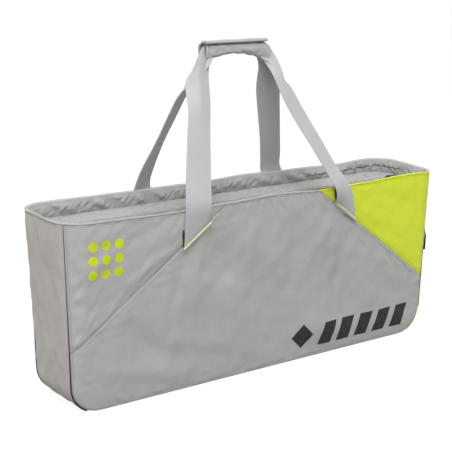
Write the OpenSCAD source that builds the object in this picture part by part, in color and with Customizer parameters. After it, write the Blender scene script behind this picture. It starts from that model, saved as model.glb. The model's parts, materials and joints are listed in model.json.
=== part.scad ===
// Racket tournament bag: a long tote with a recessed zipped closure, two webbing
// handles joined by a padded grip wrap, and a zipped pocket in one end.
// X runs along the bag, -Y is the front, Z is up, and the floor is at Z = 0.

/* [Body] */
// Height of the rim above the floor
bag_h = 314; // [290:2:340]
// Length along the rim
rim_len = 796; // [770:2:820]
// Depth across the rim, front to back
rim_dep = 171; // [160:1:185]
// Plan corner radius at the rim
rim_r = 61; // [50:1:66]
// Length at the base
base_len = 750; // [730:2:770]
// Depth at the base
base_dep = 124; // [112:1:136]
// Plan corner radius at the base
base_r = 9; // [8:1:14]
// Radius of the two lower corners, seen from the front
foot_r = 45; // [35:1:55]
// Thickness of a padded wall panel
wall = 4; // [3:0.5:5]

/* [Colour block] */
// Half distance between the diagonal seams at the rim
diag_top = 97; // [80:1:110]
// Rise of a diagonal seam per unit of length
diag_rise = 0.745; // [0.7:0.005:0.8]
// Angle of the end seams round each plan corner, from the front
seam_turn = 50; // [40:1:60]

/* [Closure] */
// Height of the recessed closure
closure_z = 288; // [280:1:294]
// Thickness of a closure panel
closure_t = 2.5; // [2:0.5:3]
// Half length of the part of the closure that opens
closure_half = 326; // [320:1:330]

/* [Handles] */
// Webbing width
web_w = 50; // [40:1:52]
// Webbing thickness
web_t = 2; // [1.5:0.5:2]
// Height of the two lines the handles swing about
swing_z = 266; // [262:1:270]
// Height of the middle of the grip
grip_z = 553; // [545:1:560]
// Middle of the grip along the bag
grip_x = -16; // [-18:1:-14]
// Length of the padded wrap
grip_len = 126; // [120:1:128]
// Width of the folded webbing inside the grip
fold_w = 20; // [16:1:22]
// Thickness of the padded wrap
wrap_t = 2.6; // [2:0.2:3]

/* [End pocket] */
// Distance of the end zip in front of the bag's middle
zip_y = 48; // [44:1:50]
// Lowest point of the end zip
zip_low = 44; // [44:1:60]
// Highest point of the end zip
zip_high = 204; // [180:1:210]

/* [Hidden] */
$fn = 48;
eps = 0.3;
grey = "#a9a9a8";
warm_grey = "#a19d99";
pale_grey = "#c3c3c4";
lime = "#c9d73c";
black = "#2b2b2c";
charcoal = "#2c2c2a";

hem_t = 1.6;
panel_top = bag_h - hem_t - 0.4;
skin = 1.2;
lining_off = -(wall + 0.8);
lean = atan((rim_dep - base_dep) / 2 / bag_h);
end_lean = atan((rim_len - base_len) / 2 / bag_h);
deg = 180 / PI;

// Rows up the wall: an arc for the lower corner, then straight heights
arc_rows = 6;

// Outline of the bag at height z, before any offset
function corner_r(z) = base_r + (rim_r - base_r) * z / bag_h;
function half_dep(z) = (base_dep + (rim_dep - base_dep) * z / bag_h) / 2;
function half_len(z) = (base_len + (rim_len - base_len) * z / bag_h) / 2;

// Height of row k on the surface offset by off, and the half length there
function row_z(k, off, ups) =
    k < arc_rows ? foot_r - (foot_r + off) * cos(90 * k / arc_rows) : ups[k - arc_rows];
function row_a(k, off, ups) =
    k < arc_rows
        ? half_len(row_z(k, off, ups)) - foot_r + (foot_r + off) * sin(90 * k / arc_rows)
        : half_len(ups[k - arc_rows]) + off;

// Distance from the front middle to the end seam, and to a diagonal seam
function flat_half(z, a) = a - corner_r(z);
function seam_u(z, a) = flat_half(z, a) + corner_r(z) * seam_turn / deg;
function diag_u(z) = diag_top + (bag_h - z) / diag_rise;

// Distance from the middle of an end to its seam
function end_flat(z) = half_dep(z) - corner_r(z);
function seam_v(z) = end_flat(z) + corner_r(z) * (90 - seam_turn) / deg;

// Height at which a diagonal seam meets the end seam
meet_z = bag_h - diag_rise * (seam_u(105, half_len(105)) - diag_top);

// A point on the front, u along the surface from the middle, off outward
function front_pt(z, a0, a, u, off) =
    let (
        r0 = corner_r(z),
        r = r0 + off,
        flat = a0 - r0,
        over = max(0, abs(u) - flat) / r0 * deg,
        x = (abs(u) <= flat ? abs(u) : flat + r * sin(over)) + (a - a0 - off)
    )
    [sign(u) * x, -(half_dep(z) - r0 + r * cos(over)), z];

// A point on the right end, v along the surface from the middle, off outward
function end_pt(z, a, v, off) =
    let (
        r0 = corner_r(z),
        r = r0 + off,
        flat = end_flat(z),
        over = max(0, abs(v) - flat) / r0 * deg,
        y = abs(v) <= flat ? abs(v) : flat + r * sin(over)
    )
    [a - r + r * cos(over), sign(v) * y, z];

// Stations from lo to hi with one of them at bend, na steps before it and nb after
function stations(lo, bend, hi, na, nb) =
    let (mid = min(max(bend, lo + 0.2 * (hi - lo)), hi - 0.03 * (hi - lo)))
    concat(
        [for (i = [0 : na]) lo + (mid - lo) * i / na],
        [for (i = [1 : nb]) mid + (hi - mid) * i / nb]
    );

// A closed slab between two grids of points with the same rows and columns
module slab(outer, inner) {
    rows = len(outer);
    cols = len(outer[0]);
    n = rows * cols;
    top = (rows - 1) * cols;
    points = concat([for (r = outer) each r], [for (r = inner) each r]);
    skins = [
        for (i = [0 : rows - 2]) for (j = [0 : cols - 2])
            let (p = i * cols + j, q = p + cols)
            each [[p, q, q + 1], [p, q + 1, p + 1], [n + p, n + q + 1, n + q], [n + p, n + p + 1, n + q + 1]]
    ];
    ends = [
        for (j = [0 : cols - 2])
            each [[j, j + 1, n + j + 1], [j, n + j + 1, n + j],
                  [top + j, n + top + j + 1, top + j + 1], [top + j, n + top + j, n + top + j + 1]]
    ];
    sides = [
        for (i = [0 : rows - 2])
            let (p = i * cols, q = p + cols, r = p + cols - 1, s = r + cols)
            each [[p, n + q, q], [p, n + p, n + q], [r, s, n + s], [r, n + s, n + r]]
    ];
    polyhedron(points, concat(skins, ends, sides));
}

// A closed bar swept through sections that all have the same number of points
module sweep(sections) {
    rows = len(sections);
    m = len(sections[0]);
    last = (rows - 1) * m;
    points = [for (s = sections) each s];
    skins = [
        for (i = [0 : rows - 2]) for (j = [0 : m - 1])
            let (p = i * m + j, q = i * m + (j + 1) % m)
            each [[p, p + m, q + m], [p, q + m, q]]
    ];
    caps = [
        for (j = [1 : m - 2])
            each [[0, j, j + 1], [last, last + j + 1, last + j]]
    ];
    polyhedron(points, concat(skins, caps));
}

// Heights above the lower corner: full panels, and the panels beside the diagonals
full_ups = [foot_r, 75, meet_z, 112, 120, 130, 140, 190, 240, panel_top];
side_ups = [meet_z + 3, 112, 120, 130, 140, 190, 240, panel_top];

// ---- wall panels ----

// Front panel between the two diagonals, down to the base
function centre_grid(off) = [
    for (k = [0 : arc_rows + len(full_ups) - 1])
        let (
            z = row_z(k, off, full_ups),
            a0 = row_a(k, 0, full_ups),
            a = row_a(k, off, full_ups),
            reach = min(seam_u(row_z(k, 0, full_ups), a0), diag_u(z)) - eps,
            half = stations(0, flat_half(row_z(k, 0, full_ups), a0), reach, 5, 5)
        )
        concat(
            [for (i = [len(half) - 1 : -1 : 1]) front_pt(z, a0, a, -half[i], off)],
            [for (u = half) front_pt(z, a0, a, u, off)]
        )
];

// Front panel to the right of a diagonal
function side_grid(off) = [
    for (z = side_ups)
        let (a = half_len(z))
        [for (u = stations(diag_u(z) + eps, flat_half(z, a), seam_u(z, a) - eps, 4, 6))
            front_pt(z, a, a + off, u, off)]
];

module centre_panel() {
    slab(centre_grid(0), centre_grid(-wall));
}

module side_panel() {
    slab(side_grid(0), side_grid(-wall));
}

module front_centre_panel() {
    color(grey) centre_panel();
}

module front_left_panel() {
    color(grey) mirror([1, 0, 0]) side_panel();
}

module front_right_panel() {
    color(lime) side_panel();
}

module back_centre_panel() {
    color(grey) mirror([0, 1, 0]) centre_panel();
}

module back_left_panel() {
    color(grey) mirror([0, 1, 0]) mirror([1, 0, 0]) side_panel();
}

module back_right_panel() {
    color(lime) mirror([0, 1, 0]) side_panel();
}

// ---- end gussets ----

function gusset_grid(off, k0, ups, trim) = [
    for (k = [k0 : arc_rows + len(ups) - 1])
        let (
            z = row_z(k, off, ups),
            a = row_a(k, off, ups),
            reach = seam_v(z) - trim,
            half = stations(0, end_flat(z), reach, 4, 5)
        )
        concat(
            [for (i = [len(half) - 1 : -1 : 1]) end_pt(z, a, -half[i], off)],
            [for (v = half) end_pt(z, a, v, off)]
        )
];

module gusset() {
    slab(gusset_grid(0, 0, full_ups, eps), gusset_grid(-wall, 0, full_ups, eps));
}

// The slit behind the end zip, through everything between the zip and its pocket
slit_w = 6;

module zip_slit() {
    translate([base_len / 2 - 30, -zip_y - slit_w / 2, zip_low + 4])
        cube([60, slit_w, zip_high - zip_low - 8]);
}

module left_end_gusset() {
    color(warm_grey) mirror([1, 0, 0]) gusset();
}

module right_end_gusset() {
    color(lime) difference() {
        gusset();
        zip_slit();
    }
}

// ---- base ----
base_half = base_len / 2 - foot_r;
base_in = base_dep / 2 - wall - 2 * eps;
board_t = 3;

module base_panel() {
    color(warm_grey) translate([-base_half + eps, -base_in, 0])
        cube([2 * (base_half - eps), 2 * base_in, 3]);
}

module base_board() {
    color(charcoal) translate([-base_half, -base_in + 1, 3 + eps + wall - 3])
        cube([2 * base_half, 2 * (base_in - 1), board_t]);
}

// ---- lining ----
lining_ups = [foot_r, 75, 110, 140, 190, 240, bag_h - 9];
lining_k = 3;

function face_lining_grid(off) = [
    for (k = [lining_k : arc_rows + len(lining_ups) - 1])
        let (
            z = row_z(k, off, lining_ups),
            a0 = row_a(k, 0, lining_ups),
            a = row_a(k, off, lining_ups),
            z0 = row_z(k, 0, lining_ups),
            half = stations(0, flat_half(z0, a0), seam_u(z0, a0) - 1, 5, 5)
        )
        concat(
            [for (i = [len(half) - 1 : -1 : 1]) front_pt(z, a0, a, -half[i], off)],
            [for (u = half) front_pt(z, a0, a, u, off)]
        )
];

module face_lining() {
    slab(face_lining_grid(lining_off), face_lining_grid(lining_off - skin));
}

module end_lining() {
    slab(gusset_grid(lining_off, lining_k, lining_ups, 1),
         gusset_grid(lining_off - skin, lining_k, lining_ups, 1));
}

module front_lining() {
    color(grey) face_lining();
}

module back_lining() {
    color(grey) mirror([0, 1, 0]) face_lining();
}

module left_lining() {
    color(grey) mirror([1, 0, 0]) end_lining();
}

module right_lining() {
    color(grey) difference() {
        end_lining();
        zip_slit();
    }
}

// ---- seam piping ----
pipe_r = 1.3;
pipe_off = pipe_r + 0.5;
pipe_k = 2;

// Round section of the piping at row k, square to the wall's slope
function pipe_section(k) =
    let (
        z = row_z(k, pipe_off, full_ups),
        c = end_pt(z, row_a(k, pipe_off, full_ups), -seam_v(z), pipe_off),
        slope = k < arc_rows ? 90 * k / arc_rows : 90
    )
    [for (i = [7 : -1 : 0])
        let (t = pipe_r * cos(45 * i), s = pipe_r * sin(45 * i))
        c + [t * sin(slope), s, -t * cos(slope)]];

module seam_piping() {
    color(charcoal) sweep([for (k = [pipe_k : arc_rows + len(full_ups) - 2]) pipe_section(k)]);
}

module front_right_piping() {
    seam_piping();
}

module front_left_piping() {
    mirror([1, 0, 0]) seam_piping();
}

module back_right_piping() {
    mirror([0, 1, 0]) seam_piping();
}

module back_left_piping() {
    mirror([0, 1, 0]) mirror([1, 0, 0]) seam_piping();
}

// ---- rim binding ----

// Closed outline at height z, offset outward by off
function ring(z, off) = [
    for (q = [0 : 3]) for (i = [0 : 9])
        let (
            turn = 90 * q + 10 * i,
            sx = q == 0 || q == 3 ? 1 : -1,
            sy = q < 2 ? 1 : -1,
            r = corner_r(z) + off
        )
        [sx * (half_len(z) - corner_r(z)) + r * cos(turn),
         sy * (half_dep(z) - corner_r(z)) + r * sin(turn), z]
];

// Folded tape over the top edge of the walls: offset and height of each corner
hem_low = bag_h - 8;
hem_form = [
    [eps, hem_low], [eps + skin, hem_low], [eps + skin, bag_h], [-wall - 2, bag_h],
    [-wall - 2, hem_low], [-wall - 2 + skin, hem_low], [-wall - 2 + skin, panel_top + 0.4],
    [eps, panel_top + 0.4]
];

module rim_binding() {
    loops = [for (p = hem_form) ring(p[1], p[0])];
    m = len(hem_form);
    n = len(loops[0]);
    points = [for (l = loops) each l];
    faces = [
        for (i = [0 : m - 1]) for (j = [0 : n - 1])
            let (
                p = i * n + j,
                q = i * n + (j + 1) % n,
                r = ((i + 1) % m) * n + j,
                s = ((i + 1) % m) * n + (j + 1) % n
            )
            each [[p, s, q], [p, r, s]]
    ];
    color(pale_grey) polyhedron(points, faces);
}

// ---- recessed closure ----
hinge_y = half_dep(closure_z) - wall - 8;
tape_y = 12;
teeth_y = 3;
gap_y = 0.4;

module closure_strip(y0, y1, t) {
    translate([-closure_half, y0, closure_z - t / 2])
        cube([2 * closure_half, y1 - y0, t]);
}

module front_closure_panel() {
    color(grey) closure_strip(-hinge_y + 1, -tape_y - eps, closure_t);
}

module back_closure_panel() {
    color(grey) closure_strip(tape_y + eps, hinge_y - 1, closure_t);
}

module front_zip_tape() {
    color(charcoal) closure_strip(-tape_y, -teeth_y - 0.1, 1);
}

module back_zip_tape() {
    color(charcoal) closure_strip(teeth_y + 0.1, tape_y, 1);
}

module front_zip_teeth() {
    color(black) closure_strip(-teeth_y, -gap_y, 2.4);
}

module back_zip_teeth() {
    color(black) closure_strip(gap_y, teeth_y, 2.4);
}

// Fixed panel that fills the rounded end of the closure
module closure_end() {
    color(grey) translate([0, 0, closure_z - closure_t / 2])
        linear_extrude(closure_t) intersection() {
            polygon([for (p = ring(closure_z - closure_t, lining_off - skin - 0.6)) [p[0], p[1]]]);
            translate([closure_half + 0.5, -rim_dep])
                square([rim_len, 2 * rim_dep]);
        }
}

module closure_right_end() {
    closure_end();
}

module closure_left_end() {
    mirror([1, 0, 0]) closure_end();
}

// Narrow sewn strip that joins the wall to the closure's hinge line
module closure_ledge() {
    color(grey) translate([-closure_half, -hinge_y - 5.2, closure_z - closure_t / 2])
        cube([2 * closure_half, 3.2, closure_t]);
}

module front_closure_ledge() {
    closure_ledge();
}

module back_closure_ledge() {
    mirror([0, 1, 0]) closure_ledge();
}

// Fabric tab that finishes each end of the zip, where the slider parks
tab_len = 34;

module zip_tab() {
    color(charcoal) translate([closure_half + 1, -tape_y, closure_z + closure_t / 2 + 0.1])
        cube([tab_len, 2 * tape_y, 1]);
}

module zip_right_tab() {
    zip_tab();
}

module zip_left_tab() {
    mirror([1, 0, 0]) zip_tab();
}

// ---- top zip slider ----
slider_x = closure_half + 14;
slider_low = closure_z + closure_t / 2 + 1.5;

// A zip slider's body lying along X: a plate with two side rails and a bridge
module slider_body() {
    hull() for (s = [-1, 1]) translate([s * 5, 0, 0])
        cylinder(h = 2.2, r = 5);
    difference() {
        translate([-3.5, -1.5, 2.2]) cube([7, 3, 3.2]);
        translate([0, 2, 3.6]) rotate([90, 0, 0]) cylinder(h = 4, r = 1.2);
    }
}

module top_zip_slider() {
    color(black) translate([slider_x, 0, slider_low]) slider_body();
}

// A pull that hangs on the bridge's pin and lies towards +X
module pull_tag(len) {
    rotate([90, 0, 0]) cylinder(h = 3.6, r = 0.9, center = true);
    for (s = [-1, 1]) translate([-0.9, s * 2.6 - 0.8, -0.9])
        cube([9, 1.6, 1.8]);
    translate([8, -3.4, -0.9]) cube([len - 8, 6.8, 1.8]);
}

module top_zip_pull() {
    color(black) translate([slider_x, 0, slider_low + 3.6]) pull_tag(22);
}

// ---- end zip and its pocket ----

// Distance of the right end's surface from the middle, in line with the zip
function zip_x(z) = end_pt(z, half_len(z), -(end_flat(z)
    + corner_r(z) * asin(max(0, zip_y - end_flat(z)) / corner_r(z)) / deg), 0)[0];

zip_lean = atan((zip_x(zip_high) - zip_x(zip_low)) / (zip_high - zip_low));
zip_rows = [zip_low, 75, meet_z, 140, 172, zip_high];

// Patch of the right end between two distances from the zip's middle
function zip_grid(off, v0, v1) = [
    for (z = zip_rows)
        let (v = end_flat(z) + corner_r(z) * asin(max(0, zip_y - end_flat(z)) / corner_r(z)) / deg
            + min(0, zip_y - end_flat(z)))
        [for (i = [0 : 3]) end_pt(z, half_len(z) + off, -v + v0 + (v1 - v0) * i / 3, off)]
];

module zip_strip(low, high, v0, v1) {
    slab(zip_grid(high, v0, v1), zip_grid(low, v0, v1));
}

module end_zip_tape() {
    color(charcoal) {
        zip_strip(0.3, 1.1, -11, -2.3);
        zip_strip(0.3, 1.1, 2.3, 11);
    }
}

module end_zip_teeth() {
    color(black) {
        zip_strip(0.3, 1.7, -2.1, -0.3);
        zip_strip(0.3, 1.7, 0.3, 2.1);
    }
}

// Frame of the end slider: local X runs down the zip, local Z out of the bag
pull_z = 188;
pull_roll = 10;
pull_out = 3.6;

module at_end_zip() {
    translate([zip_x(pull_z), -zip_y, pull_z]) rotate([0, 90 + zip_lean, 0])
        rotate([pull_roll, 0, 0]) translate([0, 0, pull_out]) children();
}

module end_zip_slider() {
    color(black) at_end_zip() slider_body();
}

// Cord loop that hangs from the end slider's bridge
module end_zip_pull() {
    color(black) at_end_zip() translate([0, 0, 3.6]) pull_tag(32);
}

// Flat pouch behind the end zip, open towards the slit. It lies along the end wall,
// just clear of the rounded corner of the lining.
pouch_d = 16;
pouch_t = 1;
pouch_w = 92;
pouch_h = 150;
pouch_z = 56;
pouch_gap = 5.8;
pouch_side = 4.6;

module end_pocket() {
    color(grey) translate([base_len / 2, 0, 0]) rotate([0, end_lean, 0])
        translate([lining_off - skin - pouch_gap - pouch_d, -zip_y - pouch_side, pouch_z]) difference() {
            cube([pouch_d, pouch_w, pouch_h]);
            translate([pouch_t, pouch_t, pouch_t])
                cube([pouch_d - 2 * pouch_t, pouch_w - 2 * pouch_t, pouch_h - 2 * pouch_t]);
            translate([pouch_d / 2, pouch_side - slit_w / 2, 4])
                cube([pouch_d, slit_w, pouch_h - 12]);
        }
}

// ---- prints: plain shapes on the front ----

// Lays a flat shape on the front panel, x along the bag and y up the slope
module on_front(t) {
    translate([0, -base_dep / 2 - eps * cos(lean), 0]) rotate([90 + lean, 0, 0])
        linear_extrude(t) children();
}

module slanted_bar(x, y, w, h) {
    polygon([[x, y], [x + w, y], [x + w + h * 0.3, y + h], [x + h * 0.3, y + h]]);
}

// Nine plain dots in three rows
dot_pitch = 23;
dot_r = 8;
dots_x = -344;
dots_y = 230;

module side_emblem() {
    color(lime) on_front(0.4) for (i = [0 : 2], j = [0 : 2])
        translate([dots_x + dot_pitch * i, dots_y + dot_pitch * j]) circle(dot_r, $fn = 24);
}

// A diamond and a row of slanted bars
mark_y = 20;
bar_w = 29;
bar_h = 42;
bar_pitch = 44;
bars_x = 119;
diamond = 33;

module front_mark() {
    color(charcoal) on_front(0.4) {
        translate([82, mark_y + 24]) rotate(45) square(diamond, center = true);
        for (i = [0 : 4])
            slanted_bar(bars_x + bar_pitch * i, mark_y, bar_w, bar_h);
    }
}

// ---- handles ----
strap_gap = 3;
swing_y = half_dep(swing_z) + strap_gap + web_t / 2;
rim_y = rim_dep / 2 + eps + skin + 1.4 + web_t / 2;
strip_t = 2 * web_t;
front_strip_y = 13;
back_strip_y = front_strip_y + strip_t + 1.2;

// One station of a strap: middle, direction of the width, width and thickness
function strap_section(s) =
    let (
        c = s[0],
        w = s[1] / norm(s[1]) * s[2] / 2,
        n = [0, s[3] / 2, 0]
    )
    [c - w - n, c + w - n, c + w + n, c - w + n];

// A leg from the grip down to its base. side is -1 left, 1 right; face is -1 front, 1 back
function leg(side, face, strip_y, rim_x, base_x) =
    let (
        gx = grip_x + side * (grip_len / 2 + 2),
        y = function (k) strip_y * (1 - k) + face * rim_y * k,
        x = function (k) gx * (1 - k) + rim_x * k
    )
    [
        [[gx, strip_y, grip_z], [0, 0, -1], fold_w, strip_t],
        [[gx + side * 6, y(0.02), grip_z - 8], [-0.45 * side, 0, -0.9], fold_w + 3, strip_t],
        [[gx + side * 12, y(0.07), grip_z - 25], [-0.8 * side, 0, -0.6], 30, strip_t],
        [[x(0.2) + side * 3, y(0.15), grip_z - 48], [-0.92 * side, 0, -0.38], 40, 3],
        [[x(0.34), y(0.28), grip_z - 78], [-0.95 * side, 0, -0.3], web_w, web_t],
        [[x(0.67), y(0.66), grip_z - 153], [-0.96 * side, 0, -0.27], web_w, web_t],
        [[x(0.97), y(0.97), bag_h + 10], [-side, 0, -0.1], web_w, web_t],
        [[rim_x, face * rim_y, bag_h + 2], [-side, 0, 0], web_w, web_t],
        [[base_x, face * (swing_y + 0.4), swing_z + 4], [-side, 0, 0], web_w, web_t]
    ];

function turned(list) = [for (i = [len(list) - 1 : -1 : 0]) list[i]];

// Sections of a whole handle, up its left leg, through the grip and down its right leg
function handle_sections(face, strip_y, rim_x, base_x) =
    [for (s = concat(turned(leg(-1, face, strip_y, rim_x[0], base_x[0])),
                     leg(1, face, strip_y, rim_x[1], base_x[1]))) strap_section(s)];

front_rim = [-156, 149];
front_base = [-157, 158];
back_rim = [-151, 132];
back_base = [-154, 150];

module front_handle_webbing() {
    color(pale_grey) sweep(handle_sections(-1, front_strip_y, front_rim, front_base));
}

module back_handle_webbing() {
    color(pale_grey) sweep(handle_sections(1, back_strip_y, back_rim, back_base));
}

// Sewn end of a strap below its swing line, cut along the diagonal seam
module strap_end(x) {
    side = sign(x);
    low = function (px) bag_h - diag_rise * (abs(px) - diag_top);
    outer = x + side * web_w / 2;
    meet = side * (diag_top + (bag_h - swing_z + 4) / diag_rise);
    color(pale_grey) translate([0, -strap_gap + 1, 0]) on_front(web_t)
        polygon([[outer, low(outer)], [outer, swing_z - 4], [meet, swing_z - 4]]);
}

// Bar of stitching that fastens a strap along the diagonal seam
module strap_tack(x) {
    side = sign(x);
    x0 = abs(x) - web_w / 2 - 2;
    x1 = abs(x) + web_w / 2 + 2;
    low = function (px) bag_h - diag_rise * (px - diag_top);
    color(lime) on_front(1)
        polygon([[side * x0, low(x0) - 5], [side * x1, low(x1) - 5], [side * x1, low(x1)], [side * x0, low(x0)]]);
}

module front_left_strap_end() {
    strap_end(front_base[0]);
}

module front_right_strap_end() {
    strap_end(front_base[1]);
}

module back_left_strap_end() {
    mirror([0, 1, 0]) strap_end(back_base[0]);
}

module back_right_strap_end() {
    mirror([0, 1, 0]) strap_end(back_base[1]);
}

module front_left_tack() {
    strap_tack(front_base[0]);
}

module front_right_tack() {
    strap_tack(front_base[1]);
}

module back_left_tack() {
    mirror([0, 1, 0]) strap_tack(back_base[0]);
}

module back_right_tack() {
    mirror([0, 1, 0]) strap_tack(back_base[1]);
}

// ---- grip wrap ----
hold = fold_w / 2 + 1;
wrap_front = front_strip_y - strip_t / 2 - 0.8;
wrap_back = back_strip_y + strip_t / 2 + 0.8;
flap_lip = 4;

// A length of the grip's section: x of the outline is depth, y is height
module grip_bar() {
    translate([grip_x - grip_len / 2, 0, 0]) rotate([90, 0, 90])
        linear_extrude(grip_len) children();
}

// Front wall and underside of the wrap, sewn to the front handle
module grip_wrap() {
    color(grey) grip_bar() {
        translate([wrap_front - wrap_t, grip_z - hold - wrap_t]) square([wrap_t, 2 * hold + wrap_t - 2]);
        translate([wrap_front - wrap_t, grip_z - hold - wrap_t])
            square([wrap_back - wrap_front + wrap_t - 0.6, wrap_t]);
    }
}

// Hinged part of the wrap: up the back, over the top, free edge at the front
module grip_flap() {
    color(grey) grip_bar() {
        translate([wrap_back, grip_z - hold - wrap_t]) square([wrap_t, 2 * hold + 2 * wrap_t]);
        translate([wrap_front - wrap_t - flap_lip, grip_z + hold])
            square([wrap_back - wrap_front + 2 * wrap_t + flap_lip, wrap_t]);
    }
}

// Fastening strip on the wrap's front wall, just under the flap's edge
module grip_hook_strip() {
    color(black) translate([grip_x - grip_len / 2 + 4, wrap_front - wrap_t - 1.2, grip_z + hold - 11])
        cube([grip_len - 8, 1, 8]);
}

// Its partner under the flap's free edge
module grip_loop_strip() {
    color(black) translate([grip_x - grip_len / 2 + 4, wrap_front - wrap_t - flap_lip + 0.4, grip_z + hold - 1.1])
        cube([grip_len - 8, 5, 1]);
}

front_centre_panel();
front_left_panel();
front_right_panel();
back_centre_panel();
back_left_panel();
back_right_panel();
left_end_gusset();
right_end_gusset();
base_panel();
base_board();
front_lining();
back_lining();
left_lining();
right_lining();
front_left_piping();
front_right_piping();
back_left_piping();
back_right_piping();
rim_binding();
closure_left_end();
closure_right_end();
front_closure_ledge();
back_closure_ledge();
zip_left_tab();
zip_right_tab();
front_closure_panel();
front_zip_tape();
front_zip_teeth();
back_closure_panel();
back_zip_tape();
back_zip_teeth();
top_zip_slider();
top_zip_pull();
end_zip_tape();
end_zip_teeth();
end_zip_slider();
end_zip_pull();
end_pocket();
side_emblem();
front_mark();
front_left_strap_end();
front_right_strap_end();
back_left_strap_end();
back_right_strap_end();
front_left_tack();
front_right_tack();
back_left_tack();
back_right_tack();
front_handle_webbing();
back_handle_webbing();
grip_wrap();
grip_hook_strip();
grip_flap();
grip_loop_strip();
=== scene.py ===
"""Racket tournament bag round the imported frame: cloth walls, lining, webbing handles, grip and zips.

Lengths are in millimetres until a mesh is built."""

import json
import math

import bmesh
import bpy
import numpy as np
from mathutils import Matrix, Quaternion, Vector
from mathutils.bvhtree import BVHTree


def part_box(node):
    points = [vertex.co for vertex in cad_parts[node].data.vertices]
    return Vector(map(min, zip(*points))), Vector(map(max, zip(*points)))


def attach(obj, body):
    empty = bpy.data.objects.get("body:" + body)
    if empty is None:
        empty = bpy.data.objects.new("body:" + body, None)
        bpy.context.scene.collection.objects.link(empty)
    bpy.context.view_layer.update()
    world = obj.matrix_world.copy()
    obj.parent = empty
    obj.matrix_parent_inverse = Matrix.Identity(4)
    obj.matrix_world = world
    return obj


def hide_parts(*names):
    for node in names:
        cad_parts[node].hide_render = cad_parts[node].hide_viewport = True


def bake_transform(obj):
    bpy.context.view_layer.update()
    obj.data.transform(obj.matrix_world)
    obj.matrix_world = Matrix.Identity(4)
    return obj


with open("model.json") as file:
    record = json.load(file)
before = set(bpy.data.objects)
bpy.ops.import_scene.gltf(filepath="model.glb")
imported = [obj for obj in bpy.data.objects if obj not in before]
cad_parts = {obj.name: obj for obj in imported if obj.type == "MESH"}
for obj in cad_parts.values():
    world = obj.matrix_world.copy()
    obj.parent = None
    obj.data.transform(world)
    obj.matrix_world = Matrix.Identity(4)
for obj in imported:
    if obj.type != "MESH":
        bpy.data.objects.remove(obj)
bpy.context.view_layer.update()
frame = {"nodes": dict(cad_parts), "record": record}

MM = 0.001
JOINTS = {j["name"]: j for j in frame["record"]["behaviour"]["joints"]}
FACES = ((-1, "front"), (1, "back"))
SIDES = ((-1, "left"), (1, "right"))


# ---- sizes ----


def span(node):
    """Lowest and highest corner of a CAD node."""
    low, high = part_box(node)
    return np.array(low) / MM, np.array(high) / MM


def joint_at(name):
    return np.array(JOINTS[name]["pos_m"]) / MM


HEM_OUT = 1.5  # how far the rim's binding stands out from the wall
WALL = 4.0  # padded cloth
GAP = 0.25  # between two cloths at a seam
FOOT_R = 45.0  # round lower corners, seen from the front
RIM_R, BASE_R = 48.0, 9.0  # round upright corners, seen from above
END_SAG = 6.0
SEAM_TURN = math.radians(57)  # how far round the corner the end seams sit
DIAG_TOP, DIAG_RISE = 97.0, 0.745  # where the diagonal seams meet the rim, and their slope
LINING_OFF = -(WALL + 0.9)
ARC_LEN = FOOT_R * math.pi / 2

rim_high = span("rim_binding")[1]
base_high = span("base_panel")[1]
BAG_H = rim_high[2]
RIM_HALF_LEN = rim_high[0] - HEM_OUT - END_SAG
RIM_HALF_DEP = rim_high[1] - HEM_OUT
BASE_HALF_LEN = base_high[0] + 0.3 + FOOT_R
BASE_HALF_DEP = base_high[1] + 0.6 + WALL
PANEL_TOP = BAG_H - 2
CLOSURE_Z = joint_at("front_closure_fold")[2]
HINGE_Y = abs(joint_at("front_closure_fold")[1])
CLOSURE_HALF = span("front_closure_panel")[1][0]
LEAN = math.atan((RIM_HALF_DEP - BASE_HALF_DEP) / BAG_H)


# ---- small numerical helpers ----


def xyz(x, y, z):
    """Places from three coordinates, any of which may be one number for all."""
    return np.stack(np.broadcast_arrays(x, y, z), -1)


def unit(v):
    """Rows of v at length 1."""
    return v / np.maximum(np.linalg.norm(v, axis=-1, keepdims=True), 1e-9)


def ease(distance, length):
    """From 0 towards 1 over about the given length."""
    return 1 - np.exp(-distance / length)


def run_of(line):
    """Distance travelled along a line at each of its points."""
    return np.concatenate([[0], np.cumsum(np.linalg.norm(np.diff(line, axis=0), axis=1))])


def circle(count):
    return np.linspace(0, 2 * math.pi, count, endpoint=False)


def ripple(seed, length, count=12):
    """A smooth, repeatable wrinkle field of about unit height and the given wavelength."""
    rng = np.random.default_rng(seed)
    turn = rng.uniform(0, 2 * math.pi, count)
    wave = 2 * math.pi / (length * rng.uniform(0.65, 1.6, count))
    phase = rng.uniform(0, 2 * math.pi, count)

    def field(x, y):
        waves = zip(turn, wave, phase)
        total = sum(np.sin(w * (x * math.cos(t) + y * math.sin(t)) + p) for t, w, p in waves)
        return total * 1.4 / math.sqrt(count)

    return field


FOLD_DEPTH = 1.7


def folds_height(x, z, folds):
    """Soft ridges and valleys, each from one point to another with a width and a height."""
    total = np.zeros_like(x)
    for x0, z0, x1, z1, width, height in folds:
        dx, dz = x1 - x0, z1 - z0
        along = ((x - x0) * dx + (z - z0) * dz) / (dx * dx + dz * dz)
        across = ((x - x0) * dz - (z - z0) * dx) / math.hypot(dx, dz)
        ends = np.clip(along * 4, 0, 1) * np.clip((1 - along) * 4, 0, 1)
        total += FOLD_DEPTH * height * np.exp(-((across / width) ** 2)) * ends * ends * (3 - 2 * ends)
    return total


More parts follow.
